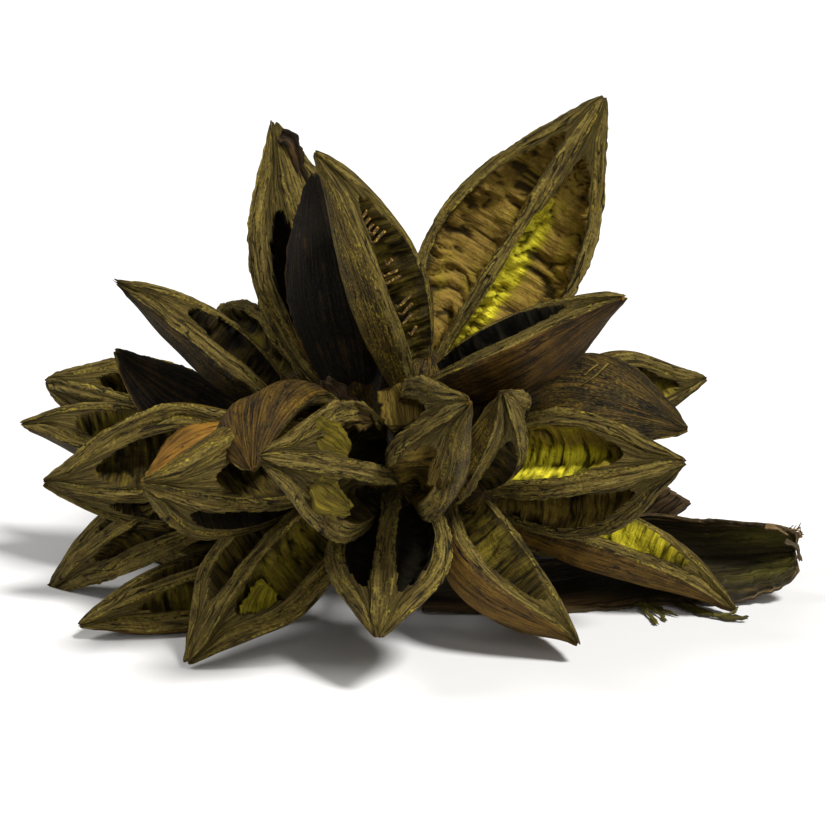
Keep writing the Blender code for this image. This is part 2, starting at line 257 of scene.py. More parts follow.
@dataclass
class Skin:
    """Closed surfaces gathered into one mesh, with zones, fibre coordinates and marks.

    Attributes:
        points: Corner points of each surface, in millimetres about the heart.
        faces: Corner numbers of each surface's quads; a triangle repeats its last corner.
        zones: The material slot of each face.
        fibres: For each face corner, its place along and across the fibres, in millimetres.
        marks: For each mark, a value at each point.
        count: How many points there are.
    """

    points: list[np.ndarray] = field(default_factory=list)
    faces: list[np.ndarray] = field(default_factory=list)
    zones: list[np.ndarray] = field(default_factory=list)
    fibres: list[np.ndarray] = field(default_factory=list)
    marks: dict[str, list[np.ndarray]] = field(default_factory=lambda: {m: [] for m in MARKS})
    count: int = 0

    def add_tube(
        self,
        grid: np.ndarray,
        along: np.ndarray,
        across: np.ndarray,
        zones: np.ndarray | int = 0,
        marks: dict[str, np.ndarray | float] | None = None,
    ) -> None:
        """Close a grid round and at both ends, and add it with its faces outwards.

        Each end is closed by triangles to its middle. The faces are turned round where they
        enclose a negative volume, which is the sum of the triple products of their corners.

        Args:
            grid: Points, stations by points round.
            along: Fibre coordinate of each station, in millimetres.
            across: Fibre coordinate of each point round, with one more for the seam.
            zones: Slot of each quad, stations less one by points round, or one for all.
            marks: Values of each mark on the grid, or one for all; a missing one is 0.
        """
        stations, around, _ = grid.shape
        cells = (stations - 1, around)
        number = np.arange(stations * around).reshape(stations, around)
        following = np.roll(number, -1, axis=1)
        quads = np.stack([number[:-1], following[:-1], following[1:], number[1:]], axis=-1)
        slots = np.broadcast_to(zones, cells)
        low, high = (np.broadcast_to(u[:, None], cells) for u in (along[:-1], along[1:]))
        left, right = (np.broadcast_to(v, cells) for v in (across[:-1], across[1:]))
        corners = ((low, left), (low, right), (high, right), (high, left))
        spots = np.stack([np.stack(corner, axis=-1) for corner in corners], axis=2)
        points, faces = [grid.reshape(-1, 3)], [quads.reshape(-1, 4)]
        kinds, places = [slots.reshape(-1)], [spots.reshape(-1, 4, 2)]
        for end in (0, -1):
            side = (number[end], following[end]) if end else (following[end], number[end])
            hub = np.full(around, stations * around - end)
            points.append(grid[end].mean(axis=0, keepdims=True))
            faces.append(np.stack([*side, hub, hub], axis=-1))
            kinds.append(slots[end])
            places.append(spots[end])
        point, face, place = (np.concatenate(part) for part in (points, faces, places))
        a, b, c, d = (point[face[:, k]] for k in range(4))
        if np.einsum("ij,ij->", a, np.cross(b, c) + np.cross(c, d)) < 0:
            triangle = (face[:, 2] == face[:, 3])[:, None]
            order = np.where(triangle, [1, 0, 2, 3], [3, 2, 1, 0])
            face = np.take_along_axis(face, order, axis=1)
            place = np.take_along_axis(place, order[..., None], axis=1)
        self.points.append(point)
        self.faces.append(face + self.count)
        self.zones.append(np.concatenate(kinds))
        self.fibres.append(place)
        for name in MARKS:
            value = np.broadcast_to((marks or {}).get(name, 0.0), (stations, around))
            ends = [value[0].mean(), value[-1].mean()]
            self.marks[name].append(np.concatenate([value.reshape(-1), ends]))
        self.count += len(point)

    def build(self, name: str, finishes: list[bpy.types.Material]) -> bpy.types.Object:
        """Put the surfaces into one object at the origin.

        Args:
            name: The object's name.
            finishes: Its materials, in the order of the zones.

        Returns:
            The object, linked to the scene.
        """
        points = (np.concatenate(self.points) + HEART) * MM
        faces = np.concatenate(self.faces)
        used = np.ones(faces.shape, bool)
        used[:, 3] = faces[:, 2] != faces[:, 3]
        sizes = used.sum(axis=1)
        starts = np.concatenate([[0], np.cumsum(sizes)[:-1]]).astype(np.int32)
        mesh = bpy.data.meshes.new(name)
        mesh.vertices.add(len(points))
        mesh.vertices.foreach_set("co", points.ravel())
        mesh.loops.add(int(sizes.sum()))
        mesh.loops.foreach_set("vertex_index", faces[used].astype(np.int32))
        mesh.polygons.add(len(faces))
        mesh.polygons.foreach_set("loop_start", starts)
        mesh.polygons.foreach_set("material_index", np.concatenate(self.zones).astype(np.int32))
        mesh.update(calc_edges=True)
        mesh.polygons.foreach_set("use_smooth", np.ones(len(faces), bool))
        places = np.concatenate(self.fibres)[used].astype(np.float32)
        mesh.uv_layers.new(name="fibres").uv.foreach_set("vector", places.ravel())
        for mark, values in self.marks.items():
            data = mesh.attributes.new(mark, "FLOAT", "POINT").data
            data.foreach_set("value", np.concatenate(values).astype(np.float32))
        for finish in finishes:
            mesh.materials.append(finish)
        return add_object(name, mesh)


# Finishes


def linear(colour: str) -> tuple[float, float, float, float]:
    """Turn an sRGB hex colour to linear.

    Args:
        colour: Six hex digits.

    Returns:
        Red, green, blue and an alpha of 1, linear.
    """
    parts = [int(colour[i : i + 2], 16) / 255 for i in (0, 2, 4)]
    return (*(p / 12.92 if p <= 0.04045 else ((p + 0.055) / 1.055) ** 2.4 for p in parts), 1.0)


def add_node(
    tree: bpy.types.NodeTree,
    kind: str,
    settings: dict[str, Any] | None = None,
    links: dict[str, bpy.types.NodeSocket] | None = None,
    stops: list[tuple[float, str]] | None = None,
) -> bpy.types.Node:
    """Add one shader node with its settings, its links and, on a ramp, its colours.

    Args:
        tree: The material's node tree.
        kind: The node's type name.
        settings: Input names with their values, or attribute names with theirs.
        links: Input names with the sockets that feed them.
        stops: Places and hex colours of a colour ramp.

    Returns:
        The node.
    """
    node = tree.nodes.new(kind)
    for key, value in (settings or {}).items():
        if key in node.inputs:
            node.inputs[key].default_value = value
        else:
            setattr(node, key, value)
    for key, socket in (links or {}).items():
        tree.links.new(socket, node.inputs[key])
    if stops:
        ramp = node.color_ramp
        while len(ramp.elements) < len(stops):
            ramp.elements.new(0.5)
        for element, (place, colour) in zip(ramp.elements, stops):
            element.position = place
            element.color = linear(colour)
    return node


class Grain(Enum):
    """Which way a pattern is stretched, as scales a millimetre along and across the fibres."""

    LENGTHWISE = (0.03, 0.75)  # ridges 1.3 mm apart and about 30 mm long
    FINE = (0.16, 1.4)  # fibres three quarters of a millimetre apart between them
    CRACKS = (0.04, 0.35)  # long cracks a few millimetres apart
    CROSSWISE = (0.9, 0.06)  # the lining's fringe, a millimetre apart
    SPECKS = (1.1, 1.5)  # grains of dye three quarters of a millimetre across
    EVEN = (0.13, 0.13)  # patches about 8 mm across


class Material:
    """A node tree in the making, with the sockets that most finishes need."""

    def __init__(self, name: str) -> None:
        """Start a material with a Principled shader and the piece's fibre coordinates.

        Args:
            name: What the real surface is.
        """
        self.made = bpy.data.materials.new(name)
        self.made.use_nodes = True
        self.tree = self.made.node_tree
        self.shader = self.tree.nodes["Principled BSDF"]
        self.fibres = add_node(self.tree, "ShaderNodeUVMap", {"uv_map": "fibres"}).outputs["UV"]

    def node(self, kind: str, *args: Any, **kwargs: Any) -> bpy.types.Node:
        """Add a node to this material's tree."""
        return add_node(self.tree, kind, *args, **kwargs)

    def feed(self, node: bpy.types.Node, entry: int | str, value: Any) -> None:
        """Link a socket to a node's input, or set the input to a number or a hex colour.

        Args:
            node: The node.
            entry: Name or number of its input.
            value: A socket, a number or six hex digits.
        """
        if isinstance(value, bpy.types.NodeSocket):
            self.tree.links.new(value, node.inputs[entry])
        else:
            node.inputs[entry].default_value = linear(value) if isinstance(value, str) else value

    def mark(self, name: str) -> bpy.types.NodeSocket:
        """Give the socket of one of the mesh's marks."""
        return self.node("ShaderNodeAttribute", {"attribute_name": name}).outputs["Fac"]

    def pattern(self, grain: Grain, detail: float = 4.0, warp: float = 0.0) -> Any:
        """Give layered noise stretched along or across the fibres.

        Args:
            grain: How it is stretched.
            detail: Layers of finer noise.
            warp: How far the layers bend each other.

        Returns:
            A socket of values from 0 to 1.
        """
        scale = (*grain.value, 1.0)
        placed = self.node("ShaderNodeMapping", {"Scale": scale}, {"Vector": self.fibres})
        settings = {"Scale": 1.0, "Detail": detail, "Roughness": 0.6, "Distortion": warp}
        found = self.node("ShaderNodeTexNoise", settings, {"Vector": placed.outputs[0]})
        return found.outputs["Fac"]

    def ramp(self, value: Any, stops: list[tuple[float, str]]) -> Any:
        """Turn a value to a colour by stops.

        Args:
            value: The socket to read.
            stops: Places and hex colours.

        Returns:
            The colour socket.
        """
        return self.node("ShaderNodeValToRGB", {}, {"Fac": value}, stops=stops).outputs["Color"]

    def mix(self, share: Any, first: Any, second: Any) -> Any:
        """Blend two colours.

        Args:
            share: A socket or number, 0 for all of the first.
            first: A socket or hex colour.
            second: A socket or hex colour.

        Returns:
            The colour socket.
        """
        node = self.node("ShaderNodeMix", {"data_type": "RGBA"})
        for entry, value in ((0, share), (6, first), (7, second)):
            self.feed(node, entry, value)
        return node.outputs[2]

    def stretch(self, value: Any, low: float, high: float, to: tuple[float, float] = (0, 1)) -> Any:
        """Stretch the part of a value between low and high to another range, clipped.

        Args:
            value: The socket to read.
            low: What becomes the range's start.
            high: What becomes its end.
            to: The range.

        Returns:
            The value socket.
        """
        settings = {"From Min": low, "From Max": high, "To Min": to[0], "To Max": to[1]}
        return self.node("ShaderNodeMapRange", settings, {"Value": value}).outputs["Result"]

    def stain(
        self, base: Any, colour: str, value: Any, low: float, high: float,
        to: tuple[float, float] = (0, 1),
    ) -> Any:
        """Lay a colour over another where a value says so.

        Args:
            base: The colour socket beneath.
            colour: Hex colour of the stain.
            value: The socket to read.
            low: Where the stain's share starts to change.
            high: Where it stops.
            to: The shares at both.

        Returns:
            The colour socket.
        """
        return self.mix(self.stretch(value, low, high, to), base, colour)

    def maths(self, operation: str, first: Any, second: Any = 0.0) -> Any:
        """Give the result of one sum.

        Args:
            operation: Blender's name for it.
            first: A socket or number.
            second: A socket or number, where the sum takes two.

        Returns:
            The value socket.
        """
        node = self.node("ShaderNodeMath", {"operation": operation})
        for entry, value in enumerate((first, second)):
            self.feed(node, entry, value)
        return node.outputs[0]

    def cracks(self, grain: Grain, width: float, warp: float = 0.6) -> Any:
        """Give thin wandering lines, where noise crosses its middle value.

        Args:
            grain: How the noise is stretched.
            width: How far from the middle value the lines reach.
            warp: How far the layers bend each other.

        Returns:
            A socket, 1 in the lines and 0 between them.
        """
        off = self.maths("ABSOLUTE", self.maths("SUBTRACT", self.pattern(grain, 2.0, warp), 0.5))
        return self.stretch(off, width * 0.25, width, (1, 0))

    def finish(
        self, colour: Any, roughness: Any, heights: list[tuple[Any, float]], shine: float = 0.25
    ) -> bpy.types.Material:
        """Link the colour, the roughness and a chain of bumps to the shader.

        Args:
            colour: The colour socket.
            roughness: A number, or a socket where it varies.
            heights: Height sockets with the depth of each in millimetres.
            shine: Specular level; dry dyed tissue is duller than the usual 0.5.

        Returns:
            The finished material.
        """
        self.feed(self.shader, "Base Color", colour)
        self.feed(self.shader, "Specular IOR Level", shine)
        self.feed(self.shader, "Roughness", roughness)
        normal = None
        for height, depth in heights:
            links = {"Height": height} | ({"Normal": normal} if normal else {})
            bump = self.node("ShaderNodeBump", {"Strength": 1.0, "Distance": depth * MM}, links)
            normal = bump.outputs["Normal"]
        self.feed(self.shader, "Normal", normal)
        return self.made


@dataclass(frozen=True)
class DriedHusk:
    """Dried outer husk: tight lengthwise fibres, near black to orange-brown, a faint gloss."""

    black: str = "0a0602"
    dark: str = "261907"
    brown: str = "48310e"
    tan: str = "6a4a14"
    orange: str = "865e1c"
    olive: str = "5d521b"
    dust: str = "a9942e"

    def build(self) -> bpy.types.Material:
        """Make the husk's material.

        Returns:
            A material whose tone mark goes from black-brown through brown to orange, and whose
            bloom mark lays an olive film and yellow dust on it.
        """
        m = Material("dried_capsule_husk")
        lines = m.pattern(Grain.LENGTHWISE, 5.0, 0.25)
        fine = m.pattern(Grain.FINE, 3.0, 0.15)
        patches = m.pattern(Grain.EVEN, 5.0, 0.3)
        specks = m.pattern(Grain.SPECKS, 3.0)
        cracks = m.cracks(Grain.CRACKS, 0.014)
        tone = m.maths("ADD", m.mark("tone"), m.stretch(patches, 0.3, 0.7, (-0.2, 0.2)))
        tone = m.maths("ADD", tone, m.stretch(lines, 0.36, 0.64, (-0.2, 0.2)))
        tone = m.maths("SUBTRACT", tone, m.stretch(m.mark("edge"), 0.0, 1.0, (0.0, 0.1)))
        stops = [(0.0, self.black), (0.18, self.dark), (0.42, self.brown), (0.68, self.tan)]
        base = m.ramp(tone, [*stops, (0.95, self.orange)])
        film = m.maths("MULTIPLY", m.mark("bloom"), m.stretch(patches, 0.38, 0.62, (0.25, 1.0)))
        base = m.mix(film, base, m.ramp(lines, [(0.32, self.dark), (0.6, self.olive)]))
        dusty = m.maths("MULTIPLY", m.stretch(specks, 0.5, 0.62), m.maths("ADD", film, 0.03))
        base = m.mix(dusty, base, self.dust)
        base = m.stain(base, self.black, fine, 0.34, 0.5, (0.6, 0))
        base = m.mix(m.maths("MULTIPLY", cracks, 0.9), base, self.black)
        heights = [(lines, 0.9), (fine, 0.3), (m.stretch(cracks, 0, 1, (1, 0)), 0.3)]
        return m.finish(base, m.stretch(lines, 0.3, 0.7, (0.75, 0.58)), heights, 0.16)


@dataclass(frozen=True)
class SplitRim:
    """Split woody rim: weathered grey-olive, ridged lengthwise, yellow-green dye dust on it."""

    black: str = "100b03"
    groove: str = "352b10"
    wood: str = "594a20"
    pale: str = "80703a"
    dust: str = "a5962f"
    rust: str = "5c4015"

    def build(self) -> bpy.types.Material:
        """Make the rim's material.

        Returns:
            A material whose edge mark gathers dust, whose grooves are painted dark as shade and
            whose ridges are painted light as highlights, and which is painted darker as shade where
            it dips into a hollow.
        """
        m = Material("split_rim_wood")
        lines = m.pattern(Grain.LENGTHWISE, 6.0, 0.4)
        fine = m.pattern(Grain.FINE, 4.0, 0.3)
        patches = m.pattern(Grain.EVEN, 5.0, 0.4)
        specks = m.pattern(Grain.SPECKS, 4.0)
        cracks = m.cracks(Grain.CRACKS, 0.018, 0.9)
        # Partly grain, partly painted light: the ramp follows the ridges that the bump raises, near
        # black in their grooves as painted shade and pale on their tops as painted highlight.
        stops = [(0.24, self.black), (0.36, self.groove), (0.5, self.wood), (0.76, self.pale)]
        base = m.ramp(m.maths("ADD", lines, m.stretch(patches, 0.3, 0.7, (-0.05, 0.06))), stops)
        base = m.stain(base, self.rust, patches, 0.56, 0.72, (0, 0.55))
        grains = m.maths("MULTIPLY", m.stretch(specks, 0.48, 0.6), m.stretch(patches, 0.38, 0.62))
        dusty = m.maths("MULTIPLY", grains, m.stretch(m.mark("edge"), 0.0, 1.0, (0.22, 0.8)))
        base = m.mix(dusty, base, self.dust)
        # Painted highlight on the raised side of the fine fibres; the next line darkens their low
        # side, partly the dark grain between fibres and partly painted shade.
        base = m.stain(base, self.pale, fine, 0.54, 0.66, (0, 0.5))
        base = m.stain(base, self.black, fine, 0.36, 0.47, (0.75, 0))
        base = m.stain(base, self.groove, specks, 0.34, 0.44, (0.6, 0))
        base = m.mix(m.maths("MULTIPLY", cracks, 0.9), base, self.black)
        # Painted shade: the rim is darkened where it dips into a hollow.
        base = m.stain(base, self.groove, m.mark("hollow"), 0.0, 0.5, (0, 0.5))
        heights = [(lines, 0.6), (fine, 0.6), (specks, 0.6), (m.stretch(cracks, 0, 1, (1, 0)), 0.5)]
        return m.finish(base, 0.85, heights, 0.15)


@dataclass(frozen=True)
class FringedLining:
    """Lining of a hollow: a dyed papery skin with a combed fringe and wrinkles across it."""

    black: str = "060401"
    dark: str = "151005"
    moss: str = "3e340e"
    olive: str = "6f6416"
    green: str = "a4961c"
    bright: str = "e0d334"
    earth: str = "46330f"
    tan: str = "8a7030"

    def build(self) -> bpy.types.Material:
        """Make the lining's material.

        Returns:
            A material whose tone mark goes from near black through moss and olive to bright
            yellow-green, and whose tan mark turns its darker tones to undyed brown. Its edge mark
            and the low side of its fringe are painted near black as shade.
        """
        m = Material("fringed_lining")
        fringe = m.pattern(Grain.CROSSWISE, 5.0, 0.8)
        patches = m.pattern(Grain.EVEN, 5.0, 0.4)
        specks = m.pattern(Grain.SPECKS, 3.0)
        cracks = m.cracks(Grain.CROSSWISE, 0.018, 1.2)
        vary = m.maths("ADD", m.stretch(patches, 0.3, 0.7, (-0.16, 0.16)), m.mark("tone"))
        tone = m.maths("ADD", vary, m.stretch(fringe, 0.35, 0.65, (-0.09, 0.09)))
        stops = [(0.0, self.dark), (0.25, self.moss), (0.5, self.olive), (0.75, self.green)]
        dyed = m.ramp(tone, [*stops, (1.0, self.bright)])
        bare = m.ramp(tone, [(0.0, self.dark), (0.22, self.earth), (0.5, self.tan)])
        undyed = m.maths("MULTIPLY", m.mark("tan"), m.stretch(vary, 0.45, 0.75, (1, 0)))
        base = m.mix(undyed, dyed, bare)
        # Painted shade: the low side of the fringe is darkened towards black.
        base = m.stain(base, self.black, fringe, 0.34, 0.44, (0.4, 0))
        base = m.mix(m.maths("MULTIPLY", cracks, 0.5), base, self.black)
        base = m.stain(base, self.dark, specks, 0.3, 0.42, (0.5, 0))
        # Painted shade: the lining is darkened towards black where the edge mark is high: by its
        # lip and crest, in its creases and on the upper part of a hollow's wall.
        base = m.stain(base, self.black, m.mark("edge"), 0.1, 0.9, (0, 0.85))
        return m.finish(base, 0.8, [(fringe, 0.9), (patches, 1.2), (specks, 0.2)], 0.12)


@dataclass(frozen=True)
class TornFibre:
    """Torn, frayed tissue at a broken tip: straw and orange strands."""

    dark: str = "2b1f0b"
    brown: str = "4e3d18"
    straw: str = "b08f34"
    orange: str = "b07a24"
    roughness: float = 0.75

    def build(self) -> bpy.types.Material:
        """Make the torn tips' material.

        Returns:
            A material whose tone mark lets fresh straw and orange show.
        """
        m = Material("torn_fibre")
        lines = m.pattern(Grain.SPECKS, 4.0, 0.4)
        patches = m.pattern(Grain.EVEN, 5.0, 0.5)
        base = m.ramp(lines, [(0.35, self.dark), (0.6, self.brown)])
        fresh = m.maths("ADD", m.mark("tone"), m.stretch(lines, 0.3, 0.7, (-0.45, 0.45)))
        bright = m.mix(m.stretch(patches, 0.45, 0.55), self.straw, self.orange)
        base = m.mix(m.stretch(fresh, 0.5, 0.75), base, bright)
        return m.finish(base, self.roughness, [(lines, 0.5)])


@dataclass(frozen=True)
class BarkyWood:
    """Weathered wood of the axis: dark brown, grooved lengthwise, with grey lichen-like wear."""

    dark: str = "160f07"
    brown: str = "3f2c14"
    grey: str = "655737"
    roughness: float = 0.85

    def build(self) -> bpy.types.Material:
        """Make the axis's material.

        Returns:
            A material with dark patches over grooved wood.
        """
        m = Material("weathered_axis_wood")
        lines = m.pattern(Grain.LENGTHWISE, 5.0, 0.4)
        patches = m.pattern(Grain.EVEN, 5.0)
        base = m.ramp(lines, [(0.32, self.dark), (0.5, self.brown), (0.72, self.grey)])
        base = m.stain(base, self.dark, patches, 0.5, 0.7, (0, 0.6))
        return m.finish(base, self.roughness, [(lines, 0.5), (patches, 0.4)])


@dataclass(frozen=True)
class DriedSheath:
    """Dried leaf sheath: smooth olive-black inside with olive light painted on two lit patches,
    finely veined, paler and frayed at its edge.
    """

    black: str = "0e0c06"
    olive: str = "352c14"
    # Olive-green of the torn strips, and of the painted light on two lit patches of the inside.
    green: str = "6a6422"
    tan: str = "94764a"
    roughness: float = 0.58

    def build(self) -> bpy.types.Material:
        """Make the sheath's material.

        Returns:
            A material whose tone mark turns it olive-green, which on two patches of the inside is
            painted light, and whose tan mark turns it to straw.
        """
        m = Material("dried_leaf_sheath")
        lines = m.pattern(Grain.LENGTHWISE, 4.0, 0.15)
        fine = m.pattern(Grain.FINE, 3.0)
        patches = m.pattern(Grain.EVEN, 4.0)
        base = m.ramp(lines, [(0.3, self.black), (0.7, self.olive)])
        # Olive-green where the tone mark is high: the torn strips' own colour, and painted light on
        # two patches of the inside.
        olive_and_painted_light = m.maths("MULTIPLY", m.mark("tone"), m.stretch(lines, 0.3, 0.6))
        base = m.mix(olive_and_painted_light, base, self.green)
        torn = m.maths("MULTIPLY", m.mark("edge"), m.stretch(lines, 0.48, 0.6))
        torn = m.maths("MULTIPLY", torn, m.stretch(patches, 0.42, 0.58))
        base = m.mix(m.maths("MAXIMUM", torn, m.mark("tan")), base, self.tan)
        base = m.stain(base, self.black, fine, 0.36, 0.46, (0.6, 0))
        return m.finish(base, self.roughness, [(lines, 0.5), (fine, 0.2), (patches, 0.25)])


@dataclass(frozen=True)
class RibbedBark:
    """Ribbed dark bract: brown ridges with grooves painted black as shade, matt, fibrous."""

    black: str = "0e0a05"
    brown: str = "4c3a22"
    pale: str = "776243"
    roughness: float = 0.8

    def build(self) -> bpy.types.Material:
        """Make the bract's material.

        Returns:
            A material whose hollow mark paints the grooves dark as shade.
        """
        m = Material("ribbed_bract_bark")
        lines = m.pattern(Grain.LENGTHWISE, 4.0, 0.2)
        base = m.ramp(lines, [(0.3, self.black), (0.5, self.brown), (0.75, self.pale)])
        # Painted shade: the grooves between the ridges are darkened towards black.
        base = m.stain(base, self.black, m.mark("hollow"), 0.3, 1.0, (0, 0.85))
        return m.finish(base, self.roughness, [(lines, 0.4)])


# The capsules


RIND = 3.8  # thickness of a valve's rind; it and the lengths below are millimetres
PARTITION = 4.0  # thickness of the wall between its hollows
SPREAD = math.radians(64)  # half of the arc that its back fills
BASE_GIRTH = 6.5
TIP_GIRTH = 2.6
GROOVE = 0.10  # how far its back is drawn in along the middle, as a share of the radius
CUP_RADIUS = 7.5
STALK_TOP = 4.6
STALK_FOOT = 3.2
SOCKET_DEPTH = 3.0
AXIS_LINE = ((-23, 5, 1), (-8, 4, 1), (8, 5, -1), (24, 9, -4))
AXIS_RADII = (5.5, 7.0, 7.0, 6.0)
COMBED = (0.07, 15.0)  # turns the lining's crosswise fringe lengthwise on a flake
SHIFT = 37.0  # cells between the noise of one valve and of the next


def swell(t: np.ndarray) -> np.ndarray:
    """How full a valve is along its length.

    A sine whose top is pulled towards the foot, raised to a power that grows along the valve.
    """
    return np.sin(np.pi * np.clip(t, 0, 1) ** 0.87) ** (0.7 + 0.45 * t)


def girth_at(t: np.ndarray, girth: float) -> np.ndarray:
    """Half-width of a valve: the tip's, the foot's fading by the fifth power, and the swell."""
    foot = (BASE_GIRTH - TIP_GIRTH) * (1 - t) ** 5
    return TIP_GIRTH + foot + (girth - TIP_GIRTH) * swell(t)


def clustered(count: int) -> np.ndarray:
    """Places from 0 up to 1, left out, closer near both ends, from half a turn of a cosine."""
    even = np.linspace(0, 1, count + 1)[:-1]
    return 0.4 * even + 0.3 * (1 - np.cos(np.pi * even))


def axis_at(share: np.ndarray | float) -> tuple[np.ndarray, np.ndarray]:
    """Read the woody axis's line, straight between its knots.

    Args:
        share: Shares of its length, 0 to 1.

    Returns:
        Its middle and its radius there.
    """
    place, knots = np.asarray(share) * (len(AXIS_LINE) - 1), np.arange(len(AXIS_LINE))
    middle = np.stack([np.interp(place, knots, way) for way in np.array(AXIS_LINE, float).T], -1)
    return middle, np.interp(place, knots, AXIS_RADII)


def catmull(knots: np.ndarray, places: np.ndarray) -> np.ndarray:
    """Carry a smooth curve through knots, a cubic between each two with matched slopes.

    Args:
        knots: Knots as rows, one unit apart.
        places: Where to read the curve, from 0 to the last knot's number.

    Returns:
        A row for each place.
    """
    before, after = 2 * knots[:1] - knots[1:2], 2 * knots[-1:] - knots[-2:-1]
    padded = np.concatenate([before, knots, after])
    i = np.clip(np.floor(places).astype(int), 0, len(knots) - 2)
    f = (places - i).reshape(-1, *[1] * (knots.ndim - 1))
    a, b, c, d = (padded[i + k] for k in range(4))
    return 0.5 * (
        2 * b + (c - a) * f + (2 * a - 5 * b + 4 * c - d) * f**2 + (3 * b - a - 3 * c + d) * f**3
    )


def swept(line: np.ndarray, radii: np.ndarray, beside: tuple[float, ...]) -> np.ndarray:
    """Carry circles along a line, each square to it.

    Args:
        line: Points of the line as rows.
        radii: Radii as a grid, points of the line by points round.
        beside: Any way that the line doesn't run, which the first point of a circle is square to.

    Returns:
        The grid of points.
    """
    ahead = unit(np.gradient(line, axis=0))
    side = unit(np.cross(ahead, beside))
    other = np.cross(ahead, side)
    turn = round_turn(radii.shape[1])[:, None]
    spokes = np.cos(turn) * side[:, None] + np.sin(turn) * other[:, None]
    return line[:, None] + radii[..., None] * spokes


@dataclass(frozen=True)
class Ribbon:
    """A strip or thread of torn tissue: a thin closed sheet along a smooth curve.

    Attributes:
        line: Knots of its middle.
        widths: Half-width at each knot, in millimetres.
        facing: The way its broad side faces.
        curl: How far its sides bend towards the facing, as a share of the half-width.
        ragged: How deeply its sides and its end are torn, in millimetres.
        thickness: In millimetres.
        zone: Slot of its finish.
        marks: Values of its marks, the same all over it.
        columns: Points across each of its two sides.
    """

    line: Line
    widths: tuple[float, ...]
    facing: tuple[float, ...] = (0.0, -1.0, 0.3)
    curl: float = 0.25
    ragged: float = 0.8
    thickness: float = 0.5
    zone: int = Zone.LINING
    marks: tuple[tuple[str, float], ...] = ()
    columns: int = 10

    def add_to(self, skin: Skin, seed: int) -> None:
        """Work the strip out and add it to a piece's skin.

        Its sides are moved in and out by noise that counts only near them, its face is lifted by
        a parabola across it and by noise, and its end is torn along its length. A flake of lining
        has its fringe combed lengthwise, so its fibre coordinates are scaled the other way.

        Args:
            skin: The piece's surfaces.
            seed: Another seed gives other tears.
        """
        last = len(self.line) - 1
        place = np.linspace(0, last, 12 * last + 1)
        middle = catmull(np.array(self.line, float), place)
        half = catmull(np.array(self.widths, float)[:, None], place)
        ahead = unit(np.gradient(middle, axis=0))
        side = unit(np.cross(ahead, np.array(self.facing)))
        out = np.cross(side, ahead)
        u, v = run_along(middle), np.linspace(-1, 1, self.columns)
        tears = rough(u[:, None] / 2.2, np.sign(v) * 4 + 9, seed) * np.abs(v) ** 3
        reach = half * v + self.ragged * tears * np.sign(v)
        waves = rough(u[:, None] / 4, v * 1.5, seed + 3, 2)
        lift = half * (self.curl * v**2 + 0.3 * waves)
        sheet = middle[:, None] + reach[..., None] * side[:, None] + lift[..., None] * out[:, None]
        near_end = smooth((place - last + 0.4) / 0.4)[:, None]
        shreds = near_end * 1.6 * self.ragged * rough(v * 4, 0, seed + 7)
        sheet = sheet + shreds[..., None] * ahead[:, None]
        wide = np.concatenate([v, v[::-1] + 3, [5]]) * max(self.widths)
        along, across = COMBED if self.zone == Zone.LINING else (1.0, 1.0)
        grid = two_sided(sheet, self.thickness)
        skin.add_tube(grid, along * u + 50 * seed, across * wide, self.zone, dict(self.marks))


def thread(line: Line, zone: int = Zone.RIM, thick: float = 0.5, **marks: float) -> Ribbon:
    """Give a thin thread along knots.

    Args:
        line: Its knots.
        zone: Slot of its finish.
        thick: How thick it is, in millimetres.
        marks: Values of its marks.

    Returns:
        A ribbon as wide as it is thick, thinner at its end.
    """
    widths, marks = tuple(np.linspace(thick / 2, thick / 4, len(line))), tuple(marks.items())
    return Ribbon(line, widths, (0.1, -1, 0.2), 0, 0, thick, zone, marks, columns=4)


def torn_strip(line: Line, wide: float, **marks: float) -> Ribbon:
    """Give a ragged strip of sheath that lies along knots and narrows to its end."""
    widths, marks = tuple(np.linspace(wide, 0.35 * wide, len(line))), tuple(marks.items())
    return Ribbon(line, widths, (0, -0.5, 1), 0.2, 0.9, 0.4, 0, marks, columns=6)


@dataclass(frozen=True)
class ThreadRow:
    """Seed threads between a partition's crest and the wall beside it.

    Attributes:
        walls: Knots of the line on the wall that the threads hang from.
        crests: Knots of the line along the crest that they reach for.
        places: Where each thread hangs, from 0 at the first knot to 1 at the last.
        reaches: How far across each one still spans; the others have torn off.
    """

    walls: Line
    crests: Line
    places: tuple[float, ...]
    reaches: tuple[float, ...]

    def ribbons(self) -> list[Ribbon]:
        """Give the threads.

        Returns:
            A ribbon for each, sagging a little between the wall and where it ends.
        """
        last = len(self.walls) - 1
        roots = catmull(np.array(self.walls, float), np.array(self.places) * last)
        ends = catmull(np.array(self.crests, float), np.array(self.places) * last)
        made = []
        for root, end, reach in zip(roots, ends, self.reaches):
            span = (end - root) * reach
            start, sag = root - 0.12 * span, np.array([0, -0.4, -0.9])
            line = (start, root + 0.35 * span + sag * 0.6, root + 0.7 * span + sag, root + span)
            made.append(thread(tuple(map(tuple, line)), Zone.TORN, 0.85, tone=0.42))
        return made


@dataclass(frozen=True)
class Detail:
    """How finely a valve is worked out.

    Attributes:
        along: Quads along it.
        back: Quads across its back.
        rim: Quads across each rim.
        hollow: Quads across each hollow.
        crest: Quads across the partition's crest.
    """

    along: int = 132
    back: int = 22
    rim: int = 9
    hollow: int = 20
    crest: int = 8


FINE = Detail()
PLAIN = Detail(along=90, back=14, rim=5, hollow=12, crest=5)


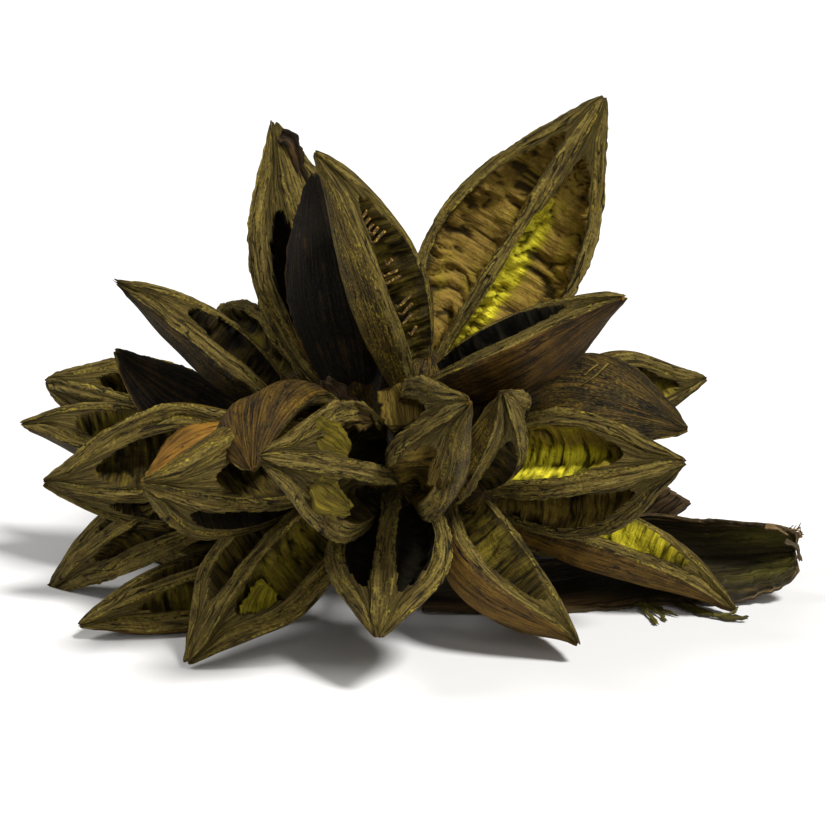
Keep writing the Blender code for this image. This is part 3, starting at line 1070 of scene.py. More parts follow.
@dataclass(frozen=True)
class Relief:
    """Heights and spacings of a valve's surface relief, in millimetres.

    Attributes:
        ridges: Heights of the lengthwise ridges on the back and on the rims.
        swells: Heights of the broad swells on the back and on the rims.
        folds: Height of the sharp folds across the lining.
        fold_pitch: Distance from one fold to the next.
        lumps: Height of the lumps in the lining.
        nicks: Depth of the fine nicks in an edge.
        bites: Depth of the larger bites out of it.
        tip: Length over which the tip is rounded off.
        blunt: What is left of the girth at the very tip, as a share.
    """

    ridges: tuple[float, float] = (0.14, 0.42)
    swells: tuple[float, float] = (0.5, 0.35)
    folds: float = 1.25
    fold_pitch: float = 2.7
    lumps: float = 1.1
    nicks: float = 0.45
    bites: float = 1.8
    tip: float = 2.8
    blunt: float = 0.45


RELIEF = Relief()


def section_face(
    side: np.ndarray, out: Any, deep: Any, near: Any, zone: Zone, tone: Any
) -> np.ndarray:
    """Stack the values of one face of a valve's sections on the grid of its points.

    Args:
        side: Sideways places, stations by points across.
        out: Outward places.
        deep: Depths in a hollow, 0 to 1.
        near: Nearness of an edge, 0 to 1.
        zone: Slot of its finish.
        tone: Tones.

    Returns:
        The six values in that order, each on the whole grid.
    """
    values = (side, out, deep, near, int(zone), tone)
    return np.stack([np.broadcast_to(value, side.shape) for value in values])


def mirrored(face: np.ndarray, side: np.ndarray, out: np.ndarray | float) -> np.ndarray:
    """Turn a face of the sections over to the other half, so that it runs back to its start.

    Args:
        face: The face, from its first edge up to its second, which is left out.
        side: Sideways places of the second edge.
        out: Outward places of that edge.

    Returns:
        The face from the second edge up to the first, which is left out, mirrored sideways.
    """
    edge = face[..., -1:].copy()
    edge[0], edge[1], edge[2], edge[3] = side, out, 0.0, 1.0
    turned = np.concatenate([edge, face[..., :0:-1]], axis=-1)
    turned[0] *= -1
    return turned


@dataclass
class Valve:
    """One boat of a capsule.

    Attributes:
        tip: Where it ends.
        girth: Half-width at its widest.
        bow: How far its middle curves inwards.
        faces: The way its hollows face; empty for the middle of the capsule.
        husk: Tone of its back, 0 black-brown to 1 orange-brown; set near black on one valve to
            paint the shade on its back.
        bloom: How much olive film and dust lies on its back.
        lining: Tones of its two hollows, 0 near black to 1 bright yellow-green; set low on a few
            valves to paint the shade in their hollows.
        ledge: Width that each rim gains at the cost of its hollow, as a share of it.
        reach: Where its hollows end, as a share of its length; beyond it is the beak.
        wall: Width of its partition, 1 for usual.
        torn: How ragged its tip is, 1 for usual.
        tan: How brown, rather than mossy, its undyed lining is.
        spark: How much fresh straw and orange shows at its broken tip.
        detail: How finely it is worked out.
    """

    tip: tuple[float, float, float]
    girth: float
    bow: float = 6.0
    faces: tuple[float, ...] = ()
    husk: float = 0.35
    bloom: float = 0.25
    lining: tuple[float, float] = (0.4, 0.4)
    ledge: tuple[float, float] = (0.08, 0.08)
    reach: float = 0.77
    wall: float = 1.0
    torn: float = 1.0
    tan: float = 0.2
    spark: float = 0.3
    detail: Detail = FINE

    def frame_of(self, seat: np.ndarray, axis: np.ndarray) -> tuple[np.ndarray, float]:
        """Directions along, sideways and outwards of the valve, and its length.

        Args:
            seat: Where the valve starts.
            axis: The middle of the capsule, which the hollows face by default.

        Returns:
            The three directions as rows, and the length.
        """
        span = np.array(self.tip, float) - seat
        length = float(np.linalg.norm(span))
        along = span / length
        facing = np.array(self.faces, float) if self.faces else axis
        outward = unit(facing.dot(along) * along - facing)
        return np.stack([along, np.cross(outward, along), outward]), length

    def hollow_depth(self, t: np.ndarray, w: np.ndarray, hollow: int, seed: int) -> np.ndarray:
        """How deep a hollow is, from 0 on the rim to 1 on its floor.

        One less a power of the distance from the hollow's middle along the valve, less a power
        of that across it, with noise on the outline; then eased. The powers, 4 and 6 by the foot,
        fall to 2.8 and 3 by the beak, where the end is rounder. The decks beside the hollow widen
        towards the beak.

        Args:
            t: Shares of the length.
            w: Shares across, from the rim to the partition.
            hollow: 0 or 1, which of the two hollows.
            seed: The valve's seed.

        Returns:
            Depths on the grid.
        """
        start, end = 0.03, self.reach + 0.02 * math.sin(seed * 1.7 + hollow * 2.1)
        middle, half = (start + end) / 2, (end - start) / 2
        x = np.abs((t - middle) / half)
        widen = smooth((t - 0.5) / 0.3)
        rim_deck = self.ledge[hollow] + 0.06 * widen
        wall_deck = 0.03 + 0.04 * widen
        y = np.abs(2 * (w - rim_deck) / (1 - rim_deck - wall_deck) - 1)
        beak = smooth((t - middle) / half / 0.7)
        level = 1 - x ** (4 - 1.2 * beak) - y ** (6 - 3 * beak)
        level = level + 0.08 * rough(t * 9, w * 3, seed + hollow)
        return smooth(level / 0.16)

    def hollow_face(
        self, t: np.ndarray, inner: np.ndarray, half_wall: np.ndarray, hollow: int, seed: int
    ) -> np.ndarray:
        """One hollow's face of the sections, from the lip of the rim to the partition's crest.

        A Bezier curve runs from the lip down to the floor and up the partition, weighed by the
        depth against the straight line between its ends. Its dye fades towards the rim and
        towards the beak to an undyed tone.

        Args:
            t: Shares of the length, as a column.
            inner: Distance of the lip from the valve's line.
            half_wall: Half-width of the partition.
            hollow: 0 or 1, which of the two hollows.
            seed: The valve's seed.

        Returns:
            The face's values.
        """
        q = clustered(self.detail.hollow)
        deep = self.hollow_depth(t, q, hollow, seed)
        lips = (inner * math.sin(SPREAD), inner * math.cos(SPREAD))
        lows = (0.55 * inner, 1.15 * inner)
        roots = (0.2 * half_wall, 1.08 * inner)
        places = []
        for lip, low, root, crest in zip(lips, lows, roots, (half_wall, 0)):
            ends = (1 - q) ** 3 * lip + q**3 * crest
            curve = ends + 3 * (1 - q) ** 2 * q * low + 3 * (1 - q) * q**2 * root
            chord = lip + q * (crest - lip)
            places.append(chord + deep * (curve - chord))
        # Nearness of the lip and the crest, where the lining's material paints the lining dark as
        # shade.
        near = bell(np.minimum(q, 1 - q) * self.girth)
        fade = 0.25 + 0.75 * self.tan
        dye = 1 - fade * (1 - smooth((q - 0.4) / 0.3))
        dye = dye * (1 - fade * smooth((t - 0.5) / 0.25))
        bare = min(self.lining[hollow], 0.46 * self.tan)
        tone = bare + (self.lining[hollow] - bare) * dye
        return section_face(*places, deep, near, Zone.LINING, tone)

    def section(self, t: np.ndarray, seed: int) -> tuple[np.ndarray, ...]:
        """The valve's sections at all stations at once.

        The back is an arc drawn in along its middle. Each rim is a straight band with a rounded
        face, and a hollow follows it. The partition's crest is a low double bead.

        Args:
            t: Shares of the length, one for each station.
            seed: The valve's seed.

        Returns:
            Sideways and outward places on the grid, the depth in the hollows, the nearness of an
            edge, the zones round the section, and the tone of each point.
        """
        d, t = self.detail, t[:, None]
        radius = girth_at(t, self.girth) * (1 + 0.035 * noise(t * 5, 0, seed))
        rind = np.minimum(RIND * (1 + 0.22 * rough(t * 6, 3, seed)), 0.45 * radius)
        inner = radius - rind
        wall = self.wall * PARTITION / 2 * (1 + 0.25 * rough(t * 6, 7, seed))
        half_wall = np.minimum(wall, 0.38 * radius)

        angle = np.linspace(-SPREAD, SPREAD, d.back + 1)[:-1]
        share = angle / SPREAD
        arc = radius * (1 - GROOVE * bell(share / 0.3))
        near = bell((1 - np.abs(share)) * self.girth / 1.2)
        back = section_face(
            arc * np.sin(angle), arc * np.cos(angle), 0.0, near, Zone.HUSK, self.husk
        )

        w = clustered(d.rim)
        across = radius - w * rind
        bulge = 0.16 * rind * np.sin(np.pi * w)
        rim_side = across * math.sin(SPREAD) + bulge * math.cos(SPREAD)
        rim_out = across * math.cos(SPREAD) - bulge * math.sin(SPREAD)
        near = bell(np.minimum(w, 1 - w) * RIND / 0.7)
        rim = section_face(rim_side, rim_out, 0.0, near, Zone.RIM, 0.5)

        v = np.linspace(1, -1, d.crest + 1)[:-1]
        beads = 0.7 * (1 - v**4) - 0.45 * bell(v / 0.25)
        top = -np.minimum(1.0, half_wall / 2) * beads
        near = bell((1 - np.abs(v)) * 2 / 0.7)
        crest = section_face(half_wall * v, top, 0.0, near, Zone.RIM, 0.5)

        left, right = (self.hollow_face(t, inner, half_wall, k, seed) for k in (0, 1))
        lip = (inner * math.sin(SPREAD), inner * math.cos(SPREAD))
        faces = (back, rim, right, crest, mirrored(left, half_wall, 0.0), mirrored(rim, *lip))
        side, out, deep, near, zone, tone = np.concatenate(faces, axis=-1)
        return side, out, deep, near, zone[0].astype(int), tone

    def relief(
        self, u: np.ndarray, v: np.ndarray, deep: np.ndarray, edge: np.ndarray, husk: np.ndarray,
        seed: int,
    ) -> tuple[np.ndarray, np.ndarray]:
        """Work out how far each point is pushed out and how near an edge it is.

        On the back, the rims and the crest, creased ridges run lengthwise over broad swells. In
        the hollows, creased folds run across over lumps. Along the edges, fine noise makes nicks
        and slow noise beyond a threshold makes bites. Creases in the lining and the upper part of
        a hollow's wall count as edges too, so that the lining is painted dark there as shade.

        Args:
            u: Place of each point along the valve, in millimetres.
            v: Its place across.
            deep: Its depth in a hollow.
            edge: Its nearness of an edge.
            husk: Where the back is.
            seed: The valve's seed.

        Returns:
            The push along the normals in millimetres, and the nearness of an edge, with creases and
            the upper wall of a hollow added as painted shade.
        """
        shift = SHIFT * seed
        wander = v + 1.2 * noise(u / 12 + shift, v / 5, seed + 3)
        ridges = -creased(wander * 0.42, u / 34 + shift, seed + 5)
        swells = rough(u / 14 + shift, v / 11, seed + 9)
        on_back, on_rim = (
            ridge * ridges + swell * swells for ridge, swell in zip(RELIEF.ridges, RELIEF.swells)
        )
        push = np.where(husk, on_back, on_rim) * (1 - smooth(deep / 0.5))
        bend = u + 2.6 * noise(u / 9 + shift, v / 6, seed + 13)
        folds = creased(bend / RELIEF.fold_pitch, v / 12 + shift, seed + 17)
        lumps = rough(u / 8 + shift, v / 6, seed + 19)
        inside = smooth(deep / 0.9) * ~husk
        push = push + (RELIEF.folds * folds + RELIEF.lumps * lumps) * inside
        # Painted shade: the lining's creases and the upper part of a hollow's wall join the edge
        # mark, which the lining's material darkens; on the rim the same band gathers dust.
        edge = np.maximum(edge, inside * smooth((-0.3 - folds) / 0.35))
        edge = np.maximum(edge, 0.85 * smooth(1 - np.abs(deep - 0.4) / 0.38) * ~husk)
        nicks = rough(u / 1.9 + shift, v / 9, seed + 23)
        bites = np.maximum(0, rough(u / 6 + shift, v / 20, seed + 29) - 0.3)
        torn = edge * (RELIEF.nicks * nicks - RELIEF.bites * bites)
        return push + np.where(deep > 0.05, 0.3, 1.0) * torn, edge

    def broken_tip(self, local: np.ndarray, t: np.ndarray, seed: int) -> np.ndarray:
        """Break the tip off raggedly and close it with three smaller, pitted rings.

        Args:
            local: The valve's grid, its length along the first axis.
            t: Shares of the length, one for each station.
            seed: The valve's seed.

        Returns:
            The grid with three more stations.
        """
        number = np.arange(local.shape[1])
        brink = smooth((t[:, None] - 0.93) / 0.07)
        break_line = rough(number[None, :] * 0.33 + SHIFT * seed, 0, seed + 31)
        local[..., 0] += self.torn * 1.6 * brink * break_line
        rings = [local]
        middle = local[-1].mean(axis=0)
        for scale in (0.8, 0.5, 0.22):
            ring = middle + (local[-1] - middle) * scale
            pits = rough(number * 0.7, scale * 9, seed + 37)
            ring[:, 0] += 0.4 * (1 - scale) + 0.5 * self.torn * pits
            rings.append(ring[None])
        return np.concatenate(rings)

    def add_to(self, skin: Skin, seat: np.ndarray, axis: np.ndarray, seed: int) -> None:
        """Work the valve out and add it to a capsule's skin.

        The sections are bowed inwards by a parabola, twisted slightly and drawn in to a rounded
        tip by a square root, then moved along their normals by the relief. The tip is broken off
        raggedly, and nothing goes under the floor.

        Args:
            skin: The capsule's surfaces.
            seat: Where the valve starts.
            axis: The middle of the capsule.
            seed: Another seed gives other wrinkles.
        """
        directions, length = self.frame_of(seat, axis)
        t = np.linspace(0, 1, self.detail.along + 1)
        side, out, deep, edge, zones, tone = self.section(t, seed)
        stations = t[:, None]
        out = out - self.bow * 4 * stations * (1 - stations)
        turn = math.radians(7) * math.sin(seed * 2.3) * stations**2
        cos, sin = np.cos(turn), np.sin(turn)
        u = np.broadcast_to(stations * length, side.shape)
        local = np.stack([u, side * cos + out * sin, out * cos - side * sin], axis=-1)
        to_tip = np.clip((1 - stations) * length / RELIEF.tip, 0, 1)
        left = RELIEF.blunt + (1 - RELIEF.blunt) * np.sqrt(to_tip)
        heart = local.mean(axis=1, keepdims=True)
        local = heart + (local - heart) * left[..., None]

        widest = local[int(0.45 * len(t))]
        across = run_along(np.vstack([widest, widest[:1]]))
        v = np.broadcast_to(across[:-1], side.shape)
        push, edge = self.relief(u, v, deep, edge, (zones == Zone.HUSK)[None, :], seed)
        ends = smooth(stations / 0.1) * smooth((1 - stations) / 0.05)
        local = local + surface_normals(local) * (push * np.maximum(ends, 0.15))[..., None]
        local = self.broken_tip(local, t, seed)
        extra = len(local) - len(t)

        kinds = np.tile(zones, (len(t) - 1, 1))
        pairs = deep[:-1] + deep[1:]
        shallow = (pairs + np.roll(pairs, -1, axis=1)) / 4 < 0.12
        kinds[(kinds == Zone.LINING) & shallow] = Zone.RIM
        kinds = np.concatenate([kinds, np.full((extra, len(zones)), Zone.TORN)])

        def padded(values: np.ndarray, end: np.ndarray | float) -> np.ndarray:
            """Give the rings that close the tip a value each."""
            return np.concatenate([values, np.broadcast_to(end, (extra, len(zones)))])

        marks = {
            "tone": padded(tone, self.spark),
            "hollow": padded(deep, deep[-1]),
            "edge": padded(edge, edge[-1]),
            "bloom": self.bloom,
            "tan": self.tan,
        }
        along = padded(u, length + 1.0)[:, 0] + 200 * seed
        world = seat + local @ directions
        world[..., 2] = np.maximum(world[..., 2], 0.05 - HEART[2])
        skin.add_tube(world, along, across + 100 * seed, kinds, marks)


@dataclass
class Capsule:
    """One split capsule: three valves on a cup and a stalk.

    Attributes:
        name: The node that it replaces.
        seat: Where the valves join.
        stand: Share of the axis's length that its stalk grows at.
        seed: Another seed gives other wrinkles.
        valves: Its valves.
        shreds: Torn flakes and loose threads in and on its valves.
        threads: Its rows of seed threads.
    """

    name: str
    seat: tuple[float, float, float]
    stand: float
    seed: int
    valves: tuple[Valve, ...]
    shreds: tuple[Ribbon, ...] = ()
    threads: tuple[ThreadRow, ...] = ()

    def add_stalk(self, skin: Skin) -> None:
        """Add the stalk and cup: a radius carried along a straight line.

        The radius is the larger of a slow cone and a circle round the seat, with noise.

        Args:
            skin: The capsule's surfaces.
        """
        middle, radius = axis_at(self.stand)
        seat = np.array(self.seat, float)
        up = unit(seat - middle)
        foot = middle + up * (radius - SOCKET_DEPTH)
        length = float(np.linalg.norm(seat - foot))
        place = np.linspace(0, length + CUP_RADIUS * 0.98, 60)
        cone = np.interp(place, [0, length], [STALK_FOOT, STALK_TOP]) * (place < length)
        cup = np.sqrt(np.maximum(0.05, CUP_RADIUS**2 - (place - length) ** 2))
        cup = cup * (np.abs(place - length) < CUP_RADIUS)
        girth = np.maximum(cone, cup)[:, None]
        turn = round_turn(40)
        ripple = rough(turn * 3, place[:, None] / 9, self.seed + 41)
        rings = rough(place[:, None] / 2.4, turn * 0.6, self.seed + 43)
        girth = girth * (1 + 0.05 * ripple) + 0.25 * rings
        grid = swept(foot + place[:, None] * up, girth, (0.3, 0.9, 0.2))
        across = np.linspace(0, 2 * np.pi * CUP_RADIUS, len(turn) + 1)
        skin.add_tube(grid, place, across, Zone.HUSK, {"tone": 0.25, "bloom": 0.25})

    def build(self, finishes: list[bpy.types.Material]) -> bpy.types.Object:
        """Make the capsule's piece and put it in the place of its node.

        Args:
            finishes: Materials in the order of the zones.

        Returns:
            The piece.
        """
        skin = Skin()
        seat = np.array(self.seat, float)
        axis = unit(unit(np.array([valve.tip for valve in self.valves], float) - seat).sum(axis=0))
        for i, valve in enumerate(self.valves):
            valve.add_to(skin, seat, axis, self.seed + i)
        self.add_stalk(skin)
        hanging = [ribbon for row in self.threads for ribbon in row.ribbons()]
        for i, ribbon in enumerate([*self.shreds, *hanging]):
            ribbon.add_to(skin, self.seed + 10 + i)
        piece = skin.build(self.name.replace("capsule", "split_capsule"), finishes)
        return place_piece(piece, self.name)


CAPSULES = (
    Capsule("capsule_crown", (7, 0, 26), 0.6, 11, (
        Valve((-21, -22, 90), 22, 12, (), 0.4, 0.8, (0.3, 0.35), (0.1, 0.1), 0.81),
        Valve((55, 10, 101), 24, 3, (-0.2, -1, 0), 0.6, 0.1, (0.5, 1.1), (0, 0), 0.83, 0.75,
              tan=1.0),
        Valve((57, -42, 56), 21, 6, (-0.1, 0.1, 1), 0.33, 0.05, (-0.1, -0.1), (0.12, 0.2), 0.8,
              spark=0.7),
    ), threads=(
        ThreadRow(
            walls=(
                (-8.8, -20.0, 74.2), (-7.2, -18.5, 70.5), (-4.3, -18.5, 68.4), (-2.3, -15.5, 60.8),
                (-0.7, -15.0, 56.9), (2.5, -12.5, 50.3), (2.8, -11.5, 45.0), (4.6, -10.5, 41.0),
            ),
            crests=(
                (-11.1, -24.0, 72.6), (-9.2, -23.5, 70.2), (-7.7, -23.0, 66.7), (-4.8, -21.0, 61.1),
                (-4.9, -21.0, 57.1), (-1.2, -18.5, 48.9), (-0.1, -17.0, 43.8), (2.0, -16.0, 39.9),
            ),
            places=(0.0, 0.07, 0.14, 0.21, 0.28, 0.43, 0.54, 0.59, 0.71, 0.77, 0.85, 0.97),
            reaches=(1.0, 0.9, 0.8, 0.7, 1.0, 0.6, 1.0, 1.0, 1.0, 0.9, 1.0, 0.7),
        ),
    )),
    Capsule("capsule_upper_left", (-13, 14, 22), 0.42, 21, (
        # Lining tones below zero paint the shade in this valve's hollows.
        Valve((-35, 38, 91), 20, 2, (0.4, -1, 0), 0.3, 0.5, (-0.1, -0.05), (0.3, 0.1), 0.7, 2.2,
              torn=1.3),
        # Back set near black: painted shade on this valve's back.
        Valve((-23, 4, 81), 15, 8, (), -0.05, 0.0),
        Valve((-19, 66, 69), 17, 8, detail=PLAIN),
    ), shreds=(
        Ribbon(
            ((-33.5, 36, 88), (-31.0, 35, 87), (-29, 34, 82.5), (-27.5, 33, 77), (-26, 33, 73)),
            (1.6, 1.9, 1.6, 1.3, 0.5), (-0.3, -1, 0.4), 0.6, 1.5, 0.7, Zone.HUSK, (("tone", 0.2),),
        ),
    )),
    Capsule("capsule_shoulder", (-30, 19, 16), 0.28, 31, (
        Valve((-76, 8, 51), 17, 8, (0, -0.15, 1), 0.1, 0.1, (0.1, 0.1), (0.25, 0.2), 0.68,
              torn=2.5),
        Valve((-54, 80, 32), 13, 10, detail=PLAIN),
        Valve((-24, 92, 5), 14, 9, detail=PLAIN),
    )),
    Capsule("capsule_left_back", (-43, 32, 1), 0.08, 41, (
        Valve((-111, 54, 2), 20, 8, ledge=(0.15, 0.25), reach=0.72),
        Valve((-107, 74, 10), 17, 10, ledge=(0.2, 0.2), reach=0.72),
        Valve((-80, 24, 28), 13, 10, (), 0.08, 0.0),
    )),
    Capsule("capsule_left", (-34, 2, 1), 0.0, 51, (
        # Lining tones set low paint the shade in this valve's hollows.
        Valve((-98, 4, -5), 24, 9, (0.2, -0.85, -0.4), 0.4, 0.6, (0.05, 0.22), (0.2, 0.2), 0.75),
        Valve((-68, -19, 2), 18, 10, (), 0.78, 0.0),
        Valve((-102, 33, -43), 14, 12, (), 0.35, 0.6, (0.2, 0.2), (0.3, 0.3), 0.7),
    )),
    Capsule("capsule_left_front", (-18, -14, -1), 0.32, 61, (
        # Lining tones set low paint the shade in this valve's hollows.
        Valve((-64, -64, 11), 23, 8, (0.3, -0.85, -0.4), 0.4, 0.8, (0.0, 0.28), (0.2, 0.2), 0.74,
              spark=0.6),
        Valve((-36, -66, 15), 19, -9, (0.5, 0.5, -0.8), 0.34, 0.15, spark=0.5),
        Valve((-55, -49, -39), 20, 7, (), 0.4, 0.4, (0.45, 0.35), (0.2, 0.15), 0.74),
    ), shreds=(
        Ribbon(
            ((-38.5, -43.5, -31.5), (-37.5, -42, -29), (-36.5, -40, -25.5), (-34.5, -38, -21.5)),
            (3.0, 4.6, 4.2, 1.8), (0.35, -1, 0.45), 0.3, 1.6, 0.5, marks=(("tone", 0.6),),
        ),
        thread(
            ((-25.4, -38.8, -22.1), (-24.0, -39.5, -23.2), (-25.0, -40.9, -24.8),
             (-26.3, -42.4, -26.5), (-25.2, -42.5, -28.2)), edge=1.0,
        ),
        thread(
            ((-30.0, -42.9, -27.0), (-30.7, -44.2, -28.5), (-28.9, -44.4, -30.2),
             (-27.0, -43.4, -27.7)), edge=1.0,
        ),
    )),
    Capsule("capsule_left_low", (-28, 9, -26), 0.2, 71, (
        Valve((-86, -22, -37), 16, 5, (0, -0.5, 0.85), 0.5, 0.3, (0.4, 0.35), (0.2, 0.1), 0.76),
        Valve((-82, 72, -40), 17, 8, detail=PLAIN),
        Valve((-56, 64, -40), 17, 8, detail=PLAIN),
    )),
    Capsule("capsule_front", (-1, -29, 4), 0.48, 81, (
        Valve((-32, -97, 26), 20, 11, (0.9, -0.5, 0), 0.4, 0.6, (0.15, 0.15), (0.16, 0.16), 0.77),
        Valve((16, -97, 39), 20, 10, (-1, -0.5, -0.1), 0.35, 0.6, (0.4, 0.35), (0.16, 0.14), 0.76,
              tan=0.7, spark=0.6),
        Valve((-5, -76, -24), 18, 5, (), 0.4, 0.5, (-0.2, -0.2), (0.15, 0.15), 0.76, 1.2),
    ), shreds=(
        Ribbon(
            ((-21.4, -79.4, 30.2), (-19, -79.2, 27.6), (-15.9, -76.5, 24.2), (-12.8, -72.5, 21.1)),
            (2.6, 4.2, 4.4, 2.4), (0.3, -1, 0.6), 0.35, 1.3, 0.5,
            marks=(("tone", 0.43), ("tan", 0.2)),
        ),
        Ribbon(
            ((-21.0, -86.0, 16.7), (-18.7, -83.5, 13.8), (-15.7, -78.5, 10.3), (-12.6, -73.0, 6.9)),
            (2.4, 4.2, 4, 1.8), (0.3, -1, 0.4), 0.3, 1.4, 0.5, marks=(("tone", 0.4), ("tan", 0.2)),
        ),
        Ribbon(
            ((-18, -64, 29), (-12.5, -60, 28), (-7, -55, 26)), (2.5, 3.6, 2.2), (0.2, -1, 0.5),
            0.4, 1.3, 0.6, marks=(("tone", 0.2), ("tan", 0.7)),
        ),
        Ribbon(
            ((-0.2, -55.0, 34.7), (1.3, -58.5, 30.8), (2.3, -63.0, 26.1)), (4.2, 5.8, 4.4),
            (-0.3, -1, 0.3), 0.45, 1.6, 0.6, marks=(("tone", 0.34), ("tan", 0.6)),
        ),
        Ribbon(
            ((13, -84, 27), (11.8, -82, 20.5), (9.5, -78, 14.5)), (2.0, 3.6, 2.4),
            (-0.5, -1, 0.2), 0.4, 1.3, 0.6, marks=(("tone", 0.3), ("tan", 0.7)),
        ),
    )),
    Capsule("capsule_right_front", (20, -11, -2), 0.78, 91, (
        Valve((74, -35, 10), 21, 8, (), 0.4, 0.5, (1.0, 0.4), (0.05, 0.1), 0.78, 1.3, tan=0.5),
        Valve((27, -57, 33), 17, 10, (), 0.4, 0.7, (0.2, 0.2), spark=0.35),
        Valve((47, -45, -35), 22, 2, (1, -0.2, 0.6), 0.58, 0.2, (0.42, 0.3)),
    )),
    Capsule("capsule_right_back", (35, 28, 3), 0.76, 101, (
        Valve((89, 50, 15), 20, 5, (), 0.45, 0.5, (0.6, 0.5), (0.08, 0.08), 0.82, 0.6),
        Valve((78, -6, 12), 20, -3, (0, 0.7, -0.7), 0.2, 0.2),
        Valve((58, 98, 4), 16, 11, detail=PLAIN),
    ), shreds=(
        thread(
            ((57.2, 5.2, 28.8), (54.8, 2.1, 27.4), (53.1, 0.9, 26.0), (51.4, 0.2, 25.0),
             (49.8, -0.3, 24.0)), tan=1.0,
        ),
        thread(((54.3, 4.2, 28.8), (52.2, 3.0, 27.5), (50.4, 1.8, 26.2)), tan=1.0),
    )),
    Capsule("capsule_right_low", (27, 22, -15), 1.0, 111, (
        Valve((93, 0, -39), 19, 12, (0.2, 0.12, 1), 0.56, 0.2, (0.85, 0.85)),
        Valve((70, 86, -34), 16, 12, detail=PLAIN),
        Valve((43, 88, -40), 17, 9, detail=PLAIN),
    )),
    Capsule("capsule_back", (0, 38, 3), 0.55, 121, (
        Valve((-14, 96, 20), 18, detail=PLAIN),
        Valve((21, 96, 22), 18, detail=PLAIN),
        Valve((17, 98, -39), 18, detail=PLAIN),
    )),
)


# The axis, the sheath and the bract


def gap_shade_scale(line: Line, widths: tuple[float, ...], facing: tuple[float, ...]) -> Ribbon:
    """Give a dry dark scale of bark that stands along knots and fills a gap between capsules as
    painted shade.
    """
    return Ribbon(line, widths, facing, curl=0.2, ragged=1.6, thickness=0.8, zone=0)


@dataclass
class Axis:
    """The knotty woody axis with its broken stump and the dry scales on it, dark sheets that fill
    gaps between the capsules as painted shade.

    Attributes:
        stump: Middle of the stump's upper and lower end.
        stump_radii: Its radius at both.
        sides: Points round both lines.
        close: Length over which each end is rounded off, in millimetres.
        girth: Mean radius, in millimetres, for the grain's width.
        seed: Another seed gives other lumps.
        scales: The dry scales, dark sheets that fill gaps between the capsules as painted shade.
    """

    stump: Line = ((2, 5, -3), (-2, 12, -36))
    stump_radii: tuple[float, float] = (5.5, 6.5)
    sides: int = 48
    close: float = 1.5
    girth: float = 6.0
    seed: int = 7
    # Each scale is a dark sheet set in a gap between capsules: painted shade.
    scales: tuple[Ribbon, ...] = (
        gap_shade_scale(
            ((14, 3, -3), (20, 2.5, 8), (24, 4, 19), (27, 7, 27)), (6, 8, 7, 2.5), (-0.1, -1, 0.2)
        ),
        gap_shade_scale(((-10, 4, 6), (-16, 3, 15), (-21, 2, 24)), (5, 6, 3), (-0.1, -1, 0.2)),
        gap_shade_scale(((-20, 4, -4), (-25, 1, -10), (-28, 0, -17)), (5, 7, 3), (-0.2, -1, 0.1)),
        gap_shade_scale(((10, 6, -2), (14, 4, -10), (19, 3, -18)), (5, 7, 3), (0.2, -1, 0.1)),
    )

    def add_limb(self, skin: Skin, line: np.ndarray, radii: np.ndarray, length: float) -> None:
        """Add one limb: circles carried along a line, with lumps and lengthwise grooves.

        The radius falls by a square root to a fifth at both ends.

        Args:
            skin: The axis's surfaces.
            line: Points of its middle as rows.
            radii: Its radius at each.
            length: Its length, in millimetres.
        """
        place = np.linspace(0, length, len(line))[:, None]
        turn = round_turn(self.sides)
        close = np.sqrt(np.clip(np.minimum(place, length - place) / self.close, 0.04, 1))
        lumps = rough(place / 7, turn * 1.3, self.seed)
        grooves = rough(place / 25, turn * 6, self.seed + 3)
        wavy = radii[:, None] * (1 + 0.05 * lumps + 0.05 * grooves) * close
        across = np.linspace(0, 2 * np.pi * self.girth, self.sides + 1)
        skin.add_tube(swept(line, wavy, (0.31, 0.87, 0.39)), place[:, 0], across)

    def build(self, finish: bpy.types.Material) -> bpy.types.Object:
        """Make the axis from its spine, its stump and its scales.

        Args:
            finish: Its material.

        Returns:
            The piece.
        """
        skin = Skin()
        spine, radii = axis_at(np.linspace(0, 1, 120))
        self.add_limb(skin, spine, radii, np.ptp(spine[:, 0]))
        share = np.linspace(0, 1, 90)
        top, bottom = np.array(self.stump, float)
        stump = top + share[:, None] * (bottom - top)
        radii = np.interp(share, [0, 1], self.stump_radii)
        self.add_limb(skin, stump, radii, float(np.linalg.norm(bottom - top)))
        for i, scale in enumerate(self.scales):
            scale.add_to(skin, self.seed + 10 + i)
        return place_piece(skin.build("knotty_axis", [finish]), "axis")


